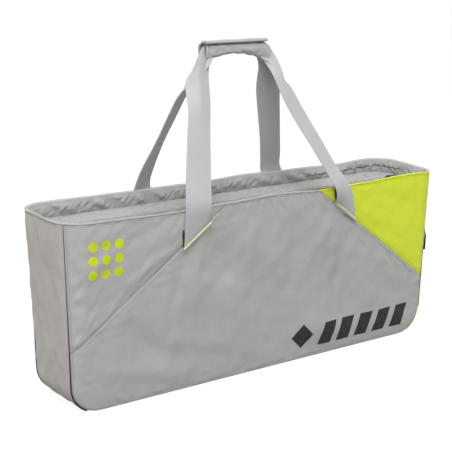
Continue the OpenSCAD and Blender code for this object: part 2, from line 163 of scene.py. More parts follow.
def smooth_path(points, step):
    """Catmull-Rom through rows of numbers; the first three are a place. Resampled about step apart."""
    p = np.array(points, float)
    ext = np.vstack([2 * p[0] - p[1], p, 2 * p[-1] - p[-2]])
    out = []
    for i in range(1, len(ext) - 2):
        a, b, c, d = ext[i - 1 : i + 3]
        n = max(2, int(np.linalg.norm(c[:3] - b[:3]) / step))
        for k in range(n):
            t = k / n
            square, cube = 2 * a - 5 * b + 4 * c - d, 3 * b - a - 3 * c + d
            out.append(0.5 * (2 * b + (c - a) * t + square * t**2 + cube * t**3))
    out.append(p[-1])
    return np.array(out)


def spaced(length, fine, count):
    """Distances from 0 to length, close together near both ends."""
    near = np.array(fine) * min(1, length / (4 * fine[-1]))
    middle = np.linspace(near[-1], length - near[-1], count + 2)[1:-1]
    return np.concatenate([near, middle, length - near[::-1]])


# ---- the bag's outline ----


def between(low, high):
    """A size that runs evenly from the floor to the rim, as a function of height."""
    return lambda z: low + (high - low) * z / BAG_H


corner_r = between(BASE_R, RIM_R)
half_dep = between(BASE_HALF_DEP, RIM_HALF_DEP)
half_len = between(BASE_HALF_LEN, RIM_HALF_LEN)


def footed_len(z):
    """Half length at height z, with the round lower corners."""
    drop = np.clip(FOOT_R - z, 0, FOOT_R)
    return half_len(z) - FOOT_R + np.sqrt(FOOT_R**2 - drop**2)


def seam_u(z):
    return footed_len(z) - corner_r(z) + corner_r(z) * SEAM_TURN


def diag_u(z):
    return DIAG_TOP + (BAG_H - z) / DIAG_RISE


def seam_v(z):
    return half_dep(z) - corner_r(z) + corner_r(z) * (math.pi / 2 - SEAM_TURN)


SLUMP_Y = ripple(11, 210)
SLUMP_Z = ripple(12, 150)


def slump(p):
    """The whole bag's softness: the rim wanders a little, more towards the top."""
    rise = np.clip(p[..., 2] / BAG_H, 0, 1.1) ** 3
    out = p.copy()
    out[..., 1] += rise * 1.5 * SLUMP_Y(p[..., 0], p[..., 1] * 0.5)
    out[..., 2] += rise * 1.1 * SLUMP_Z(p[..., 0], p[..., 1] * 0.8)
    return out


def front_point(u, z, off, face=-1):
    """A point on the front (face -1) or back (face 1), u along it from the middle, off outward."""
    r0 = corner_r(z)
    flat = footed_len(z) - r0
    over = np.clip(np.abs(u) - flat, 0, None) / r0
    r = r0 + off
    x = np.minimum(np.abs(u), flat) + r * np.sin(over)
    y = half_dep(z) - r0 + r * np.cos(over)
    return slump(xyz(np.sign(u) * x, face * y, z))


def end_point(v, s, off, side=1):
    """A point on the right end (side 1) or left end (side -1), s up the wall from the floor."""
    angle = np.clip(s / FOOT_R, 0, math.pi / 2)
    z = FOOT_R - (FOOT_R + off) * np.cos(angle) + np.clip(s - ARC_LEN, 0, None)
    a = half_len(z) - FOOT_R + (FOOT_R + off) * np.sin(angle)
    r0 = corner_r(z)
    flat = half_dep(z) - r0
    over = np.clip(np.abs(v) - flat, 0, None) / r0
    r = r0 + off
    x = a - r + r * np.cos(over)
    y = np.minimum(np.abs(v), flat) + r * np.sin(over)
    return slump(xyz(side * x, np.sign(v) * y, z))


def rise_of(z):
    """Distance up the end wall at height z, the inverse of end_point's s."""
    arc = FOOT_R * np.arccos(np.clip((FOOT_R - z) / FOOT_R, 0, 1))
    return np.where(z < FOOT_R, arc, ARC_LEN + z - FOOT_R)


# ---- meshes ----

NO_SEAM = 60.0  # the cloth attribute far from any seam
CREASE = math.radians(56)


def add_object(name, data):
    thing = bpy.data.objects.new(name, data)
    bpy.context.scene.collection.objects.link(thing)
    return thing


def build(name, points, faces, material, body, nodes=(), slot=None, cloth=None):
    """A mesh object from points in millimetres, riding on a body and standing for CAD nodes."""
    mesh = bpy.data.meshes.new(name)
    mesh.from_pydata((np.asarray(points, float) * MM).tolist(), [], faces)
    attribute = mesh.attributes.new("cloth", "FLOAT_VECTOR", "POINT")
    flat = np.full((len(points), 3), NO_SEAM) if cloth is None else np.asarray(cloth, float)
    attribute.data.foreach_set("vector", flat.astype(np.float32).ravel())
    mesh.materials.append(material)
    mesh.validate()
    piece = add_object(name, mesh)
    work = bmesh.new()
    work.from_mesh(mesh)
    bmesh.ops.recalc_face_normals(work, faces=work.faces)
    work.to_mesh(mesh)
    work.free()
    mesh.shade_smooth()
    mesh.set_sharp_from_angle(angle=CREASE)
    if nodes:
        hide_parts(*nodes)
    if body:
        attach(piece, body)
    return piece


def grid_faces(rows, cols, start=0, wrap_rows=False, wrap_cols=False):
    """Quads of a grid of points, row by row."""
    faces = []
    for i in range(rows if wrap_rows else rows - 1):
        for j in range(cols if wrap_cols else cols - 1):
            a, b = i * cols + j, i * cols + (j + 1) % cols
            c, d = ((i + 1) % rows) * cols + (j + 1) % cols, ((i + 1) % rows) * cols + j
            faces.append([start + a, start + b, start + c, start + d])
    return faces


def slab_faces(rows, cols, start=0):
    """Faces of two grids of points, one after the other, joined all the way round their edge."""
    n = rows * cols
    edge = [(0, j) for j in range(cols)] + [(i, cols - 1) for i in range(1, rows)]
    edge += [(rows - 1, j) for j in range(cols - 2, -1, -1)] + [(i, 0) for i in range(rows - 2, 0, -1)]
    ids = [start + i * cols + j for i, j in edge]
    sides = [[a, b, n + b, n + a] for a, b in zip(ids, ids[1:] + ids[:1])]
    return grid_faces(rows, cols, start) + grid_faces(rows, cols, start + n) + sides


def slab(name, outer, inner, material, body, nodes=(), slot=None, cloth=None):
    """A closed piece of cloth between two grids of points with the same shape."""
    points = np.vstack([outer.reshape(-1, 3), inner.reshape(-1, 3)])
    both = None if cloth is None else np.vstack([cloth.reshape(-1, 3)] * 2)
    return build(name, points, slab_faces(*outer.shape[:2]), material, body, nodes, slot, both)


def swept(name, sections, material, body, nodes=(), slot=None, closed=False, cloth=None):
    """A solid through sections with the same number of points, capped unless it closes on itself."""
    s = np.asarray(sections, float)
    rows, cols = s.shape[:2]
    faces = grid_faces(rows, cols, wrap_rows=closed, wrap_cols=True)
    if not closed:
        faces += [list(range(cols)), list(range((rows - 1) * cols, rows * cols))]
    flat = None if cloth is None else np.asarray(cloth, float).reshape(-1, 3)
    return build(name, s.reshape(-1, 3), faces, material, body, nodes, slot, flat)


def many(name, shape, faces, frames, material, body, nodes=(), slot=None):
    """Copies of one small shape in a single piece. Each frame is an origin and three axes."""
    shape = np.asarray(shape, float)
    points = np.concatenate([o + shape @ np.array(axes) for o, *axes in frames])
    n = len(shape)
    every = [[i + k * n for i in f] for k in range(len(frames)) for f in faces]
    return build(name, points, every, material, body, nodes, slot)


def joined(name, solids, material, body, nodes=(), slot=None):
    """Several swept solids as one piece."""
    points, faces, start = [], [], 0
    for s in solids:
        rows, cols = s.shape[:2]
        faces += grid_faces(rows, cols, start, wrap_cols=True)
        faces += [[start + k for k in range(cols)], [start + (rows - 1) * cols + k for k in range(cols)]]
        points.append(s.reshape(-1, 3))
        start += rows * cols
    return build(name, np.vstack(points), faces, material, body, nodes, slot)


STITCH = [
    [-1, 0, -0.4], [-0.55, -1, 0.1], [-0.55, 1, 0.1], [-0.5, 0, 1],
    [0.5, 0, 1], [0.55, -1, 0.1], [0.55, 1, 0.1], [1, 0, -0.4],
]
STITCH_FACES = [
    [0, 1, 3], [0, 3, 2], [1, 5, 4, 3], [3, 4, 6, 2], [5, 7, 4], [4, 7, 6], [0, 2, 6, 7, 5, 1],
]


# Pitch, length and half width of the threads
SEAM_STITCH, TACK_STITCH, RIM_STITCH = (3.6, 2.5, 0.42), (2.2, 1.5, 0.5), (3.4, 2.4, 0.4)
ZIP_STITCH, TAB_STITCH, CLOSURE_STITCH = (3.2, 2.2, 0.4), (3.0, 2.1, 0.35), (3.4, 2.3, 0.35)


def stitch_row(name, line, outward_to, material, body, stitch=SEAM_STITCH):
    """Thread stitches along a line of points, standing on the surface whose normals are given."""
    pitch, length, width = stitch
    normals, run = unit(outward_to), run_of(line)

    def at(s, rows):
        return np.array([np.interp(s, run, rows[:, k]) for k in range(3)])

    frames = []
    for s in np.arange(pitch, run[-1] - pitch, pitch):
        n = at(s, normals)
        t = unit(at(s + 0.5, line) - at(s, line))
        frames.append((at(s, line), t * length / 2, np.cross(n, t) * width, n * width))
    return many(name, STITCH, STITCH_FACES, frames, material, body)


def around(path, first, second, count):
    """Oval sections along a path, each spanned by its two side axes."""
    return np.stack([path + first * math.cos(t) + second * math.sin(t) for t in circle(count)], axis=1)


def tube(path, radius, sides=10, flat=1.0):
    """Round sections along a path; flat squeezes them along the second side axis."""
    path = np.asarray(path, float)
    tangent = unit(np.gradient(path, axis=0))
    side = unit(np.cross(tangent, [0.13, 0.21, 0.97]))
    radius = np.broadcast_to(radius, len(path))[:, None]
    return around(path, side * radius, np.cross(tangent, side) * radius * flat, sides)


# ---- materials ----


def new_material(name):
    return Nodes(bpy.data.materials.new(name))


def shade(colour, factor):
    return tuple(c * factor for c in colour[:3]) + (1.0,)


def srgb(r, g, b):
    """Linear colour from 8-bit display values."""
    c = np.array([r, g, b]) / 255
    return tuple(np.where(c <= 0.04045, c / 12.92, ((c + 0.055) / 1.055) ** 2.4)) + (1.0,)


class Nodes:
    """Short forms for building the node tree of a material or of the world."""

    def __init__(self, owner, shader="Principled BSDF"):
        owner.use_nodes = True
        self.owner, self.tree = owner, owner.node_tree
        self.shader = self.tree.nodes[shader]
        self.place = None

    def add(self, kind, **settings):
        node = self.tree.nodes.new(kind)
        for key, value in settings.items():
            setattr(node, key, value)
        return node

    def put(self, value, socket):
        if isinstance(value, bpy.types.NodeSocket):
            self.tree.links.new(value, socket)
        else:
            socket.default_value = value

    def math(self, operation, a, b=0.0, clamp=False):
        node = self.add("ShaderNodeMath", operation=operation, use_clamp=clamp)
        for value, socket in zip((a, b, 0.0), node.inputs):
            self.put(value, socket)
        return node.outputs[0]

    def times(self, a, b, clamp=False):
        return self.math("MULTIPLY", a, b, clamp)

    def noise(self, scale, detail=3.0, rough=0.5):
        if self.place is None:
            self.place = self.add("ShaderNodeTexCoord").outputs["Object"]
        node = self.add("ShaderNodeTexNoise")
        return self.fill(node, Vector=self.place, Scale=scale, Detail=detail, Roughness=rough).outputs[0]

    def mix(self, factor, a, b):
        node = self.add("ShaderNodeMix", data_type="RGBA")
        for value, socket in ((factor, 0), (a, 6), (b, 7)):
            self.put(value, node.inputs[socket])
        return node.outputs[2]

    def bump(self, height, distance, strength=1.0, normal=None):
        node = self.fill(self.add("ShaderNodeBump"), Strength=strength, Distance=distance, Height=height)
        if normal is not None:
            self.put(normal, node.inputs["Normal"])
        return node.outputs[0]

    def threads(self, pitch, tall=1.0):
        """Waves for the cloth's threads both ways, and the distance from the nearest seam. The cloth attribute
        holds the place on the cut cloth and, third, that distance."""
        place = self.add("ShaderNodeAttribute", attribute_name="cloth")
        split = self.add("ShaderNodeSeparateXYZ")
        self.put(place.outputs["Vector"], split.inputs[0])
        turn = math.pi / pitch
        warp = self.math("SINE", self.times(split.outputs[0], turn))
        return warp, self.math("SINE", self.times(split.outputs[1], turn * tall)), split.outputs[2]

    def fill(self, node, **values):
        """Sets a node's inputs, each named with _ for a space."""
        for key, value in values.items():
            self.put(value, node.inputs[key.replace("_", " ")])
        return node

    def finish(self, **values):
        self.fill(self.shader, **values)
        return self.owner


SEAM_SHADE_AND_DIRT_REACH = 5.0  # how far from a seam the cloth is darkened by painted shade and dirt
SEAM_SHADE_AND_DIRT_TONE = 0.45


def woven(name, rgb, pitch=0.9, relief=0.00016, rough=0.82, sheen=0.25, vary=0.07, ribs=False, seam_shade_and_dirt=0.12):
    """Woven cloth: threads over and under, uneven dye, seams darkened by painted shade and dirt."""
    n, colour = new_material(name), srgb(*rgb)
    warp, weft, seam = n.threads(pitch, 0.5 if ribs else 1.0)
    threads = n.times(warp, weft)
    if ribs:
        threads = n.math("ADD", n.times(n.math("ABSOLUTE", warp), 0.8), n.times(threads, 0.4))
    blotch = n.noise(9.0, 4.0)
    grain = n.noise(900.0, 2.0)
    tone = n.math("ADD", n.times(blotch, 0.7), n.times(grain, 0.3))
    tone = n.math("ADD", tone, n.times(threads, 0.12))
    dyed = n.mix(n.math("ADD", tone, 0.0, clamp=True), shade(colour, 1 - vary), shade(colour, 1 + vary))
    # painted shade and dirt: the colour darkens within a few millimetres of each seam
    near = n.math("SUBTRACT", 1.0, n.math("DIVIDE", seam, SEAM_SHADE_AND_DIRT_REACH), clamp=True)
    marked = n.mix(n.times(near, seam_shade_and_dirt), dyed, shade(colour, SEAM_SHADE_AND_DIRT_TONE))
    coarse = n.bump(n.noise(55.0, 5.0, 0.6), 0.0012, 0.35)
    return n.finish(
        Base_Color=marked, Normal=n.bump(threads, relief, 0.8, coarse), Roughness=rough, Sheen_Weight=sheen,
        Sheen_Roughness=0.45, Specular_IOR_Level=0.25,
    )


def thread(name, rgb):
    return woven(name, rgb, pitch=0.4, relief=0.0001, rough=0.6)


def moulded(name, rgb, rough=0.42, metallic=0.0):
    """Enamelled metal or moulded plastic with a fine skin and rubbed, lighter high spots."""
    n, colour = new_material(name), srgb(*rgb)
    skin = n.noise(420.0, 4.0, 0.65)
    marked = n.noise(70.0, 5.0, 0.7)
    edge = n.times(n.math("SUBTRACT", marked, 0.52, clamp=True), 3.0, clamp=True)
    rubbed = n.mix(edge, colour, shade(colour, 2.4))
    relief = n.bump(skin, 0.00006, 0.5)
    return n.finish(Base_Color=rubbed, Normal=relief, Roughness=rough, Metallic=metallic)


def pile(name, rgb):
    """Hook-and-loop strip: short dense pile."""
    n, colour = new_material(name), srgb(*rgb)
    tufts = n.noise(1400.0, 3.0, 0.7)
    mixed = n.mix(tufts, shade(colour, 0.5), shade(colour, 2.0))
    return n.finish(Base_Color=mixed, Normal=n.bump(tufts, 0.0006), Roughness=0.95, Sheen_Weight=0.3)


def printed(name, rgb, rough=0.5):
    """Transfer print: thin ink, slightly cloudy, that lets the weave's grain through."""
    n, colour = new_material(name), srgb(*rgb)
    warp, weft, _ = n.threads(0.9)
    grain = n.times(warp, weft)
    cloudy = n.mix(n.noise(60.0, 5.0), shade(colour, 0.9), shade(colour, 1.12))
    return n.finish(Base_Color=cloudy, Normal=n.bump(grain, 0.0001, 0.5), Roughness=rough)


GREY = woven("grey_canvas", (183, 183, 182))
WARM = woven("warm_canvas", (186, 181, 176))
LIME = woven("lime_canvas", (226, 241, 60), sheen=0.15, vary=0.03)
LINING = woven("lining_cloth", (166, 166, 164), 0.6, 0.00008, rough=0.6, sheen=0.2, vary=0.1)
WEBBING = woven("strap_webbing", (189, 189, 191), 1.3, 0.0003, rough=0.55, ribs=True, vary=0.05)
BINDING = woven("binding_tape", (186, 186, 185), 1.0, 0.0002, rough=0.75, ribs=True)
PIPING = woven("dark_piping", (52, 52, 54), 0.8, 0.0002, rough=0.8)
GRIP = woven("grip_cloth", (192, 192, 190), 0.8, 0.0002, rough=0.8)
TAPE = woven("zip_tape", (50, 50, 52), 0.7, 0.0002, rough=0.85)
GREY_TAPE = woven("grey_zip_tape", (142, 142, 141), 0.7, 0.0002, rough=0.8)
BOARD = woven("stiff_board", (64, 64, 66), 1.6, 0.0003, rough=0.9)
THREAD_GREY = thread("grey_thread", (140, 140, 139))
THREAD_LIME = thread("lime_thread", (176, 192, 52))
THREAD_DARK = thread("dark_thread", (98, 98, 98))
TACK = woven("tack_thread", (214, 220, 166), 0.5, 0.0002, rough=0.5)
TEETH = moulded("zip_coil", (42, 42, 44), 0.4)
METAL = moulded("black_enamel", (34, 34, 36), 0.32, 0.4)
PILE = pile("hook_and_loop", (22, 22, 23))
INK_LIME = printed("lime_ink", (204, 222, 30))
INK_DARK = printed("dark_ink", (42, 42, 41), 0.42)


# ---- camera, light and floor ----

VIEW_AZIMUTH, VIEW_ELEVATION, VIEW_ROLL = (math.radians(a) for a in (-35.58, 13.93, 0.38))
VIEW_DISTANCE, VIEW_LENS, SENSOR = 1.96026, 90.5, 36
VIEW_AIM = Vector((-0.03828, 0.0, 0.24939))


def make_camera():
    aside, level = math.sin(VIEW_AZIMUTH), math.cos(VIEW_ELEVATION)
    back = Vector((aside * level, -math.cos(VIEW_AZIMUTH) * level, math.sin(VIEW_ELEVATION)))
    camera = add_object("camera", bpy.data.cameras.new("camera"))
    camera.data.lens = VIEW_LENS
    camera.data.sensor_width = SENSOR
    camera.rotation_mode = "QUATERNION"
    camera.rotation_quaternion = back.to_track_quat("Z", "Y") @ Quaternion((0, 0, 1), VIEW_ROLL)
    camera.location = VIEW_AIM + back * VIEW_DISTANCE
    bpy.context.scene.camera = camera


SKY_LOW, SKY_HIGH, SKY_TURN = 0.52, 0.8, 0.9  # strength below and above, and the height where it is full
FLOOR_BOUNCE, FLOOR_SEEN, FLOOR_GLOW = 0.38, 0.12, 0.92
FLOOR_HALF = 30.0
WHITE = (1, 1, 1, 1)
LIGHTS = (  # name, place, aim and size in metres, power in watts
    ("key", (-2.1, -2.6, 4.2), (0.1, 0, 0.2), 2.2, 160),
    ("top", (0.3, 0.2, 3.4), (0, 0, 0.2), 2.0, 16),
)


def make_lights():
    for name, at, aim, size, power in LIGHTS:
        data = bpy.data.lights.new(name, "AREA")
        data.shape = "DISK"
        data.size = size
        data.energy = power
        light = add_object(name, data)
        light.location = at
        light.rotation_euler = (Vector(aim) - Vector(at)).to_track_quat("-Z", "Y").to_euler()


def make_sky():
    """A world that is white to the camera and greyer as light, more so from below."""
    n = Nodes(bpy.data.worlds.new("studio"), "Background")
    bpy.context.scene.world = n.owner
    split, ramp, choose = (n.add("ShaderNode" + kind) for kind in ("SeparateXYZ", "MapRange", "Mix"))
    n.fill(split, Vector=n.add("ShaderNodeTexCoord").outputs["Generated"])
    n.fill(ramp, Value=split.outputs[2], From_Min=0.0, From_Max=SKY_TURN, To_Min=SKY_LOW, To_Max=SKY_HIGH)
    seen = n.add("ShaderNodeLightPath").outputs["Is Camera Ray"]
    for value, socket in ((seen, 0), (ramp.outputs["Result"], 2), (1.0, 3)):
        n.put(value, choose.inputs[socket])
    n.finish(Color=WHITE, Strength=choose.outputs[0])


def make_floor():
    """A floor that looks white to the camera and throws little light back up."""
    floor = bpy.data.meshes.new("floor")
    corners = [(x * FLOOR_HALF, y * FLOOR_HALF, 0) for x, y in ((-1, -1), (1, -1), (1, 1), (-1, 1))]
    floor.from_pydata(corners, [], [(0, 1, 2, 3)])
    piece = add_object("floor", floor)
    n = new_material("floor_paper")
    seen = n.add("ShaderNodeLightPath").outputs["Is Camera Ray"]
    paper = n.mix(seen, (FLOOR_BOUNCE,) * 3 + (1,), (FLOOR_SEEN,) * 3 + (1,))
    glow = n.times(seen, FLOOR_GLOW)
    n.finish(Base_Color=paper, Emission_Strength=glow, Emission_Color=WHITE)
    floor.materials.append(n.finish(Roughness=1.0, Specular_IOR_Level=0.0))


# ---- wall panels ----

# Soft folds on the front, in the panel's own millimetres: from, to, width and height
FRONT_FOLDS = [
    (-388, 190, -326, 164, 5, -0.9), (-386, 172, -316, 140, 6, 1.0), (-384, 150, -314, 116, 5, -1.0),
    (-382, 128, -334, 104, 5, 0.9), (-378, 252, -330, 222, 6, 0.8), (-372, 282, -300, 268, 6, -0.8),
    (-172, 258, -196, 150, 9, -1.6), (-150, 268, -150, 120, 11, 1.5), (-128, 284, -84, 170, 12, -1.7),
    (-185, 262, -300, 190, 10, 1.6), (-210, 300, -330, 262, 12, -1.3), (-268, 296, -368, 216, 10, 1.2),
    (140, 272, 60, 150, 12, 1.3), (170, 252, 150, 110, 12, -1.5), (190, 262, 330, 210, 12, 1.5),
    (210, 296, 350, 250, 10, -1.3), (332, 304, 356, 150, 4, -1.2), (-40, 300, -70, 120, 20, 1.4),
    (60, 296, 40, 120, 22, -1.4), (-340, 70, -120, 20, 16, 1.6), (20, 60, 330, 30, 18, 1.3),
    (-300, 150, -200, 60, 14, -1.3), (-230, 100, -60, 60, 18, 1.2), (240, 180, 330, 90, 14, 1.3),
]
BACK_FOLDS = [(-x0, z0, -x1, z1, w, h) for x0, z0, x1, z1, w, h in FRONT_FOLDS[::2]]
END_FOLDS = [
    (-26, 300, -18, 120, 9, -1.1), (14, 290, 22, 90, 12, 1.3), (34, 250, 30, 60, 8, -1.0),
    (-30, 160, 20, 70, 12, 1.0),
]
EDGE_FINE = (0, 0.9, 2.2, 4.2, 7.5, 12)  # rows of points near a cloth's edge
STRETCHED = 0.55  # how much of the looseness the yellow-green walls keep
THIN_FROM, THIN_OVER, RIM_THINNER = 296, 14, 2.2


def panel_lift(u, z, near, seed, folds, calm=1.0):
    """Height of the cloth over the plain wall: a soft crown, a groove at each seam, puckers and folds."""
    crown = 1.5 * ease(near, 20)
    groove = 0.9 * np.exp(-near / 1.2)
    pucker = 0.8 * ripple(seed, 20)(u, z) * np.exp(-near / 26) * ease(near, 4)
    broad = 1.3 * ripple(seed + 1, 130)(u, z) * ease(near, 40)
    fine = 0.4 * ripple(seed + 2, 36)(u, z) * ease(near, 20)
    loose = pucker + broad + fine + folds_height(u, z, folds) * ease(near, 18)
    return crown - groove + calm * loose


def panel_grid(low_z, high_z, left, right, rows, cols, lean=1.0):
    """Places on a panel: u and z of each point and its distance from the nearest edge. Where the edges lean,
    the distance along u counts for less."""
    zs = low_z + spaced(high_z - low_z, EDGE_FINE, rows)
    u, near = [], []
    for z in zs:
        lo, hi = left(z), right(z)
        d = spaced(hi - lo, EDGE_FINE, cols)
        u.append(lo + d)
        near.append(np.minimum(np.minimum(d, hi - lo - d) * lean, min(z - low_z, high_z - z)))
    u, near = np.array(u), np.array(near)
    return u, np.repeat(zs[:, None], u.shape[1], 1), near


def wall_back(z):
    """How far in the back of the padded wall lies; it thins towards the rim."""
    t = np.clip((z - THIN_FROM) / THIN_OVER, 0, 1)
    return -WALL + RIM_THINNER * t * t * (3 - 2 * t)


def wall_panel(where, material, face, left, right, low_z, seed, folds, rows, cols):
    u, z, near = panel_grid(low_z, PANEL_TOP, left, right, rows, cols, 0.6)
    calm, slot = (STRETCHED, "lime_canvas") if material == LIME else (1.0, "grey_canvas")
    lift = panel_lift(u, z, near, seed, folds, calm)
    outer, inner = front_point(u, z, lift, face), front_point(u, z, wall_back(z), face)
    nodes, flat = [where + "_panel"], xyz(u, z, near)
    piece = slab(where + "_cloth", outer, inner, material, "bag", nodes, slot, flat)
    return piece


def centre_edge(z):
    return min(seam_u(z), diag_u(z)) - GAP


def find_meet():
    """Height at which a diagonal seam meets the end seam."""
    z = 105.0
    for _ in range(20):
        z = BAG_H - DIAG_RISE * (seam_u(z) - DIAG_TOP)
    return z


MEET_Z = find_meet()


def make_walls():
    made = {}
    for (face, place), folds, seed in zip(FACES, (FRONT_FOLDS, BACK_FOLDS), (20, 50)):
        where = place + "_centre"
        made[where] = wall_panel(
            where, GREY, face, lambda z: -centre_edge(z), centre_edge, 0.0, seed, folds, 56, 130
        )
        for side, end in SIDES:
            edges = (lambda z: diag_u(z) + GAP, lambda z: seam_u(z) - GAP)
            if side < 0:
                edges = (lambda z: -seam_u(z) + GAP, lambda z: -diag_u(z) - GAP)
            where, material = f"{place}_{end}", GREY if side < 0 else LIME
            made[where] = wall_panel(
                where, material, face, *edges, MEET_Z + 1.2, seed + 5 + side, folds, 40, 60
            )
    return made


def make_gusset(side, node, material, slot):
    def reach(rise):
        bend = math.cos(min(rise / FOOT_R, math.pi / 2))
        return seam_v(FOOT_R - FOOT_R * bend + max(rise - ARC_LEN, 0)) - GAP

    top = rise_of(np.array(PANEL_TOP)).item()
    v, s, near = panel_grid(0, top, lambda rise: -reach(rise), reach, 60, 26)
    lift = panel_lift(v, s, near, 80 + side, END_FOLDS)
    lift = np.minimum(lift, np.where(s < ARC_LEN, s / ARC_LEN * 4, 9))
    outer = end_point(v, s, lift, side)
    outer[..., 2] = np.maximum(outer[..., 2], 0)
    inner = end_point(v, s, wall_back(outer[..., 2]), side)
    name = node.replace("gusset", "cloth")
    piece = slab(name, outer, inner, material, "bag", [node], slot, xyz(v, s, near))
    return piece


def make_base():
    half_x, half_y = base_high[0], base_high[1]
    x = spaced(2 * half_x, EDGE_FINE, 70) - half_x
    y = spaced(2 * half_y, EDGE_FINE, 16) - half_y
    gx, gy = np.meshgrid(x, y, indexing="ij")
    near = np.minimum(half_x - np.abs(gx), half_y - np.abs(gy))
    under = np.exp(-near / 2.5) + 0.25 * np.abs(ripple(91, 90)(gx, gy))
    low, high, flat = xyz(gx, gy, under), xyz(gx, gy, 3.0), xyz(gx, gy, near)
    piece = slab("base_cloth", low, high, WARM, "bag", ["base_panel"], "gusset_canvas", flat)
    board_low, board_high = span("base_board")
    edge = 0.8 * np.exp(-near / 1.6)
    bx, by = gx * (board_high[0] / half_x), gy * (board_high[1] / half_y)
    bottom, top = xyz(bx, by, board_low[2] + edge), xyz(bx, by, board_high[2] - edge)
    slab("base_board_sheet", bottom, top, BOARD, "bag", ["base_board"], "board", flat)


# ---- seams: stitching and piping ----


def front_line(u, z, lift, face=-1):
    """A line on the front or back with its normals."""
    u, z = np.asarray(u, float), np.asarray(z, float)
    at = front_point(u, z, lift + 0 * u, face)
    return at, front_point(u, z, lift + 1 + 0 * u, face) - at


LOOK_FROM, LOOK_FAR = 12.0, 0.03  # where seated starts above the line, and how far it looks, in metres


def seated(line, normals, pieces, clear=0.15):
    """The line laid on the cloths' real surface, found by looking back along the normals."""
    for mesh in (piece.data for piece in pieces):
        sides = [tuple(p.vertices) for p in mesh.polygons]
        tree = BVHTree.FromPolygons([v.co.copy() for v in mesh.vertices], sides)
        out = line.copy()
        for i, (p, n) in enumerate(zip(line, unit(normals))):
            hit = tree.ray_cast(Vector((p + n * LOOK_FROM) * MM), Vector(-n), LOOK_FAR)[0]
            if hit is not None:
                out[i] = np.array(hit) / MM + n * clear
        line = out
    return line


# Rows of stitching: how far from the diagonal seams (along u), the end seams and the floor
SEW_DIAG, SEW_END, SEW_FOOT = 5.5 / 0.6, 5, 7.0


def make_seams(walls):
    for face, place in FACES:
        centre = walls[place + "_centre"]

        def sew(name, u, z, pieces, thread):
            line, normals = front_line(u, z, 2, face)
            stitch_row(f"{place}_{name}thread", seated(line, normals, pieces), normals, thread, "bag")

        for side, where in SIDES:
            own = walls[f"{place}_{where}"]
            thread = THREAD_LIME if side > 0 else THREAD_GREY
            z = np.linspace(MEET_Z + 10, PANEL_TOP - 8, 90)
            sew(f"{where}_centre_seam_", side * (diag_u(z) - SEW_DIAG), z, [centre], THREAD_GREY)
            sew(f"{where}_{where}_seam_", side * (diag_u(z) + SEW_DIAG), z, [own], thread)
            z = np.linspace(60, PANEL_TOP - 8, 90)
            sew(f"{where}_end_", side * (seam_u(z) - SEW_END), z, [own, centre], thread)
        u = np.linspace(-300, 300, 300)
        sew("foot_", u, np.full_like(u, SEW_FOOT), [centre], THREAD_GREY)


def make_piping():
    """A cord in each end seam, thick and proud at the foot, thin and sunk towards the rim."""
    bend = FOOT_R - FOOT_R * np.cos(np.radians(np.linspace(26, 88, 14)))
    z = np.concatenate([bend, np.linspace(FOOT_R + 4, PANEL_TOP - 7, 80)])
    out = np.interp(z, [0, 60, 130, 220, BAG_H], [0.9, 0.8, 0.1, -0.5, -0.8])
    thick = np.interp(z, [0, 60, 130, BAG_H], [1.4, 1.2, 0.65, 0.45])
    for face, place in FACES:
        for side, where in SIDES:
            path = end_point(face * seam_v(z), rise_of(z), out, side)
            path[..., 2] = np.maximum(path[..., 2], 1.6)
            cord, form = (PIPING, tube(path, thick)) if side < 0 else (LIME, tube(path, 0.6 * thick))
            swept(f"{place}_{where}_cord", form, cord, "bag", [f"{place}_{where}_piping"], "piping")


def rim_frames(z):
    """Points round the rim at height z, with outward normals, all the way round."""
    x, y, r = half_len(z) - corner_r(z), half_dep(z) - corner_r(z), corner_r(z)
    points, normals = [], []
    corners = np.array([(x, -y), (x, y), (-x, y), (-x, -y), (x, -y)])
    for k, count in enumerate((14, 170, 14, 170)):
        start, way = k * math.pi / 2, corners[k + 1] - corners[k]
        straight = [(corners[k] + way * t, start) for t in np.linspace(0, 1, count, endpoint=False)]
        bend = [(corners[k + 1], start + t) for t in np.linspace(0, math.pi / 2, 22, endpoint=False)]
        for centre, turn in straight + bend:
            n = np.array([math.cos(turn), math.sin(turn)])
            points.append((*(centre + r * n), z))
            normals.append((*n, 0))
    return np.array(points), np.array(normals)


# Sections of the folded rim: offset outward and height over the rim's edge
OUTER_FOLD = [
    (-0.2, -2.0), (0.3, -2.4), (0.6, -2.1), (0.7, -1.4), (0.6, -0.5), (0.2, 0.1), (-0.4, 0.3),
    (-0.6, -0.4), (-0.3, -0.8), (-0.2, -1.4),
]
INNER_FOLD = [
    (-0.5, 0.3), (-1.2, 0.4), (-2.2, 0.2), (-3.2, -0.4), (-4.0, -1.3), (-4.5, -2.6), (-4.1, -3.1),
    (-3.3, -2.2), (-2.3, -1.3), (-1.2, -1.0), (-0.6, -0.9),
]


RIM_SEW = 5.6  # the rim's stitching lies this far below its edge


